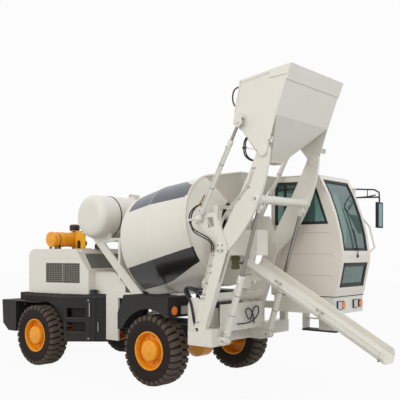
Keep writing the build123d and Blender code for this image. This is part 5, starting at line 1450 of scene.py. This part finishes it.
def box_dress():
    """Step treads, grab bars and bolts of the side boxes, and the tool box door's handle."""
    shape = Shape()

    run_x, run_y = 0.7722, 0.6354     # the cut corner's direction in plan

    def corner(side, along, inward):
        """A plan point on a side box's cut corner."""
        return (-928 + run_x * along - run_y * inward,
                side * (1100 - run_y * along - run_x * inward))

    def corner_block(side, along, inward, z):
        """A block that lies along the cut corner."""
        plan = [(along[0], inward[0]), (along[1], inward[0]), (along[1], inward[1]),
                (along[0], inward[1])]
        shape.prism([(*corner(side, *place), z[0]) for place in plan], (0, 0, z[1] - z[0]))

    for side in (-1, 1):
        for z in (690, 960):
            corner_block(side, (60, 420), (4, 148), (z - 1, z + 4))
            corner_block(side, (56, 424), (-9, 3), (z - 26, z + 6))
        for z in (884, 1154):
            corner_block(side, (56, 424), (-6, 1), (z - 4, z + 10))
        corner_block(side, (440, 448), (-2, 2), (520, 1330))
    shape.slot = 1
    for side in (-1, 1):
        place = corner(side, 500, -26)
        foot = corner(side, 500, 0)
        shape.bar([(*foot, 980), (*place, 990), (*place, 1240), (*foot, 1250)], 10, 10)
        for z in (560, 1290):
            shape.bolt((*corner(side, 475, 0), z), (run_y, side * run_x, 0), 18)
    shape.slot = 0
    for side in (-1, 1):
        for x in (-2660, -1900):
            shape.turned((x, side * 1300, 1180), (0, side, 0), [(0, 16), (4, 16), (6, 10), (6, 0)],
                         16)
    shape.piece("side_box_treads", "machine_body", ["tread_plate", "zinc_plate"], bevel=1)

    shape = Shape()
    foot, proud = corner(-1, 668, 3), corner(-1, 668, -27)
    shape.bar([(*foot, 700), (*proud, 712), (*proud, 868), (*foot, 880)], 9, 10)
    shape.slot = 1
    edge = [(621, 522), (839, 522), (839, 1328), (621, 1328)]
    inner = [corner(-1, s, 3) + (z,) for s, z in inset(edge, 14)]
    depth = Vector(corner(-1, 0, -4)) - Vector(corner(-1, 0, 0))
    shape.rim([corner(-1, s, 3) + (z,) for s, z in edge], inner, (depth.x, depth.y, 0))
    shape.piece("toolbox_door_handle", "toolbox_door", ["zinc_plate", "charcoal_enamel"], bevel=0.8)


def front_dress():
    """Bosses and bolts at the lift cylinders' foot pins, and studs behind the apron."""
    shape = Shape()
    for side in (-1, 1):
        y = beside(side, lift_across)
        for edge in (-1, 1):
            shape.turned((lift_base[0], y + edge * 66, lift_base[1]), (0, edge, 0),
                         [(0, 44), (6, 44), (9, 40), (9, 0)], 28)
    for y in (-900, -475, -50):
        shape.bar([(2852, y, 990), (2852, y, 1000)], 20, 10)
    shape.slot = 1
    for side in (-1, 1):
        for edge in (-1, 1):
            shape.bolt((lift_base[0], beside(side, lift_across) + edge * 74, lift_base[1]),
                       (0, edge, 0), 26)
    shape.piece("front_foot_pins", "machine_body", ["cream_enamel", "zinc_plate"], bevel=1)


def bent_hoses(name, bodies, look, radius, routes):
    """Hoses that run across a joint, as mesh tubes: drawn as curves on the first of the bodies,
    turned into meshes and fixed to none of them.
    """
    guide = hoses(name, bodies[0], look, radius, routes)
    data = bpy.data.meshes.new_from_object(guide)
    bpy.data.objects.remove(guide)
    made = linked(name, data)
    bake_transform(made)


def crimps(name, body, places):
    """Crimped hose ends with their nuts: (place, direction) pairs."""
    shape = Shape()
    for place, axis in places:
        shape.slot = 0
        shape.turned(place, axis, [(-8, 13), (46, 13), (50, 10), (50, 0)], 14)
        shape.slot = 1
        shape.turned(place, axis, [(-34, 15), (-8, 15), (-8, 0)], 6)
    shape.piece(name, body, ["brass_fitting", "zinc_plate"], bevel=0.8)


def loader_lines():
    """Hoses and pipes of the loader, each clipped to one body or running across one joint."""
    hoses("mast_pipes", "machine_body", "cream_enamel", 8, [[(2842, -1228, 2235),
                                                             (2822, -1228, 2167),
                                                             (2780, -1228, 2010),
                                                             (2700, -1228, 1740),
                                                             (2655, -1228, 1590)],
                                                            [(2802, -1228, 2235),
                                                             (2786, -1228, 2167),
                                                             (2752, -1228, 2050),
                                                             (2672, -1228, 1780),
                                                             (2655, -1228, 1700)]])
    low = [[(2850 + shift, -1240, 2262), (2872 + shift, -1252, 2330),
            (2800, -1300 - shift / 8, 2440 + shift), (2640, -1318, 2510 + shift),
            (2520, -1322, 2570 + shift), (2462, -1318, 2650 + shift / 2),
            (2460 + shift, -1312, 2716)] for shift in (0, -40)]
    bent_hoses("horn_hoses", ["machine_body", "mast_horn_pins"], "hose_rubber", 11, low)
    shape = Shape()
    shape.bar([(2590, -1312, 2734), (2520, -1314, 2730), (2420, -1312, 2716)], 14, 10)
    shape.box((2405, -1334, 2700), (2478, -1296, 2732))
    shape.turned((2590, -1311, 2734), (0, -1, 0), [(-2, 40), (6, 40), (9, 34), (9, 0)], 28)
    shape.piece("horn_hose_clamp", "mast_horn_pins", ["cream_enamel"], bevel=2)
    high = [[(2460 + shift, -1312, 2716), (2470 + shift, -1314, 2800), (2540 + shift, -1324, 2880),
             (2612 + shift / 2, -1326, 2930), (2672 + shift / 2, -1322, 2946)]
            for shift in (0, -40)]
    bent_hoses("tilt_hoses", ["mast_horn_pins", "tilt_cylinder_barrels"], "hose_rubber", 11, high)
    crimps("mast_crimps", "machine_body", [((2842, -1232, 2240), (0.2, -0.1, 1)),
                                           ((2802, -1232, 2240), (0.2, -0.1, 1))])
    crimps("tilt_crimps", "tilt_cylinder_barrels", [((2690, -1322, 2960), (-0.5, 0, -0.86)),
                                                    ((2668, -1322, 2972), (-0.5, 0, -0.86))])
    hoses("tilt_feed_pipes", "tilt_cylinder_barrels", "brass_fitting", 8, [
        [(2690, -1322, 2960), (2744, -1322, 3038), (2760, -1322, 3075)],
        [(2668, -1322, 2972), (2724, -1322, 3060), (2742, -1322, 3092)]])
    hoses("arm_pipes", "loader_arms", "cream_enamel", 7, [
        [(3562, -1209, 3400), (3520, -1209, 3260), (3400, -1209, 3100), (3230, -1209, 2945),
         (3040, -1209, 2750), (2950, -1209, 2560), (2930, -1209, 2420)],
        [(3538, -1209, 3408), (3496, -1209, 3270), (3380, -1209, 3118), (3210, -1209, 2963),
         (3016, -1209, 2766), (2926, -1209, 2570), (2906, -1209, 2430)]])
    arm = [[(3580 + shift, -1140, 3540), (3480 + shift, -1138, 3560), (3385 + shift, -1136, 3620),
            (3340 + shift, -1134, 3700), (3342 + shift, -1134, 3760)] for shift in (0, 30)]
    bent_hoses("arm_hoses", ["loader_arms", "arm_tip_pins"], "hose_rubber", 11, arm)
    shape = Shape()
    shape.bar([(3731, -1122, 3672), (3560, -1126, 3720), (3390, -1130, 3762), (3330, -1134, 3770)],
              7, 8)
    shape.slot = 1
    shape.box((3322, -1148, 3752), (3392, -1120, 3780))
    shape.slot = 0
    shape.turned((3731, -1128, 3672), (0, 1, 0), [(0, 56), (6, 56), (9, 50), (9, 0)], 32)
    shape.piece("tip_hose_clamp", "arm_tip_pins", ["cream_enamel", "gasket_rubber"], bevel=2)
    upper = [[(3342 + shift, -1134, 3760), (3340 + shift, -1134, 3830), (3370 + shift, -1130, 3900),
              (3440 + shift, -1120, 3960), (3500 + shift, -1060, 3990)] for shift in (0, 30)]
    bent_hoses("bucket_hoses", ["arm_tip_pins", "loader_bucket"], "hose_rubber", 11, upper)
    hoses("bucket_back_loop", "loader_bucket", "hose_rubber", 12,
          [[(3330, -1100, 4672), (3250, -1100, 4700), (3150, -1100, 4680), (3110, -1100, 4600),
            (3112, -1100, 4500), (3150, -1100, 4420), (3215, -1100, 4370), (3262, -1100, 4372)]])
    crimps("bucket_crimps", "loader_bucket", [((3310, -1100, 4680), (-1, 0, 0.3)),
                                              ((3250, -1100, 4368), (-1, 0, 0.1))])
    hoses("valve_hoses", "machine_body", "hose_rubber", 16, [[(2668, -1196 + shift, 1700),
                                                              (2655, -1198 + shift, 1610),
                                                              (2600, -1200 + shift, 1560 + shift),
                                                              (2500, -1200 + shift, 1556 + shift),
                                                              (2380, -1200 + shift, 1640),
                                                              (2262, -1200 + shift, 1670),
                                                              (2222, -1200 + shift, 1580),
                                                              (2340, -1200 + shift, 1470),
                                                              (2392, -1200 + shift, 1290),
                                                              (2425, -1200 + shift, 1110),
                                                              (2470, -1180 + shift, 985),
                                                              (2540, -1170 + shift, 940)]
                                                             for shift in (0, 38, 76)])
    crimps("valve_crimps", "machine_body", [((2668, -1196 + shift, 1690), (-0.1, 0, -1))
                                            for shift in (0, 38, 76)])
    hoses("apron_hose", "machine_body", "hose_rubber", 11, [[(2868, -640, 1072), (2866, -500, 1066),
                                                             (2866, -369, 1068), (2868, -200, 1100),
                                                             (2872, -60, 1200), (2872, -70, 1330),
                                                             (2872, -180, 1330), (2870, -250, 1220),
                                                             (2878, -300, 1110), (2880, -400, 1160),
                                                             (2876, -450, 1280), (2872, -350, 1320),
                                                             (2872, -240, 1240), (2872, -210, 1130),
                                                             (2868, -190, 1050)]])


for dress in (hood_screens, slope_grille, hood_trim, rear_louvres, deck_fittings,
              air_cleaner_dress, intake_bracket, tank_straps, drum_dress, hopper_dress,
              window_gaskets, door_gasket, cab_seams, wiper, cab_furniture, driver_seat,
              mirror_dress, lamp_bezels, mast_dress):
    dress()
barrel_dress("lift_barrel_glands", "lift_cylinder_barrels", lift_base, lift_top, lift_across, 1050,
             52, 36)
barrel_dress("tilt_barrel_glands", "tilt_cylinder_barrels", tilt_base, tilt_top, tilt_across, 1300,
             40, 24)
rod_eyes("lift_rod_eyes", "lift_cylinder_rods", lift_base, lift_top, lift_across, 36, 50)
rod_eyes("tilt_rod_eyes", "tilt_cylinder_rods", tilt_base, tilt_top, tilt_across, 24, 48)
for dress in (arm_dress, bucket_dress, gate_dress, chute_dress, box_dress, front_dress,
              loader_lines):
    dress()
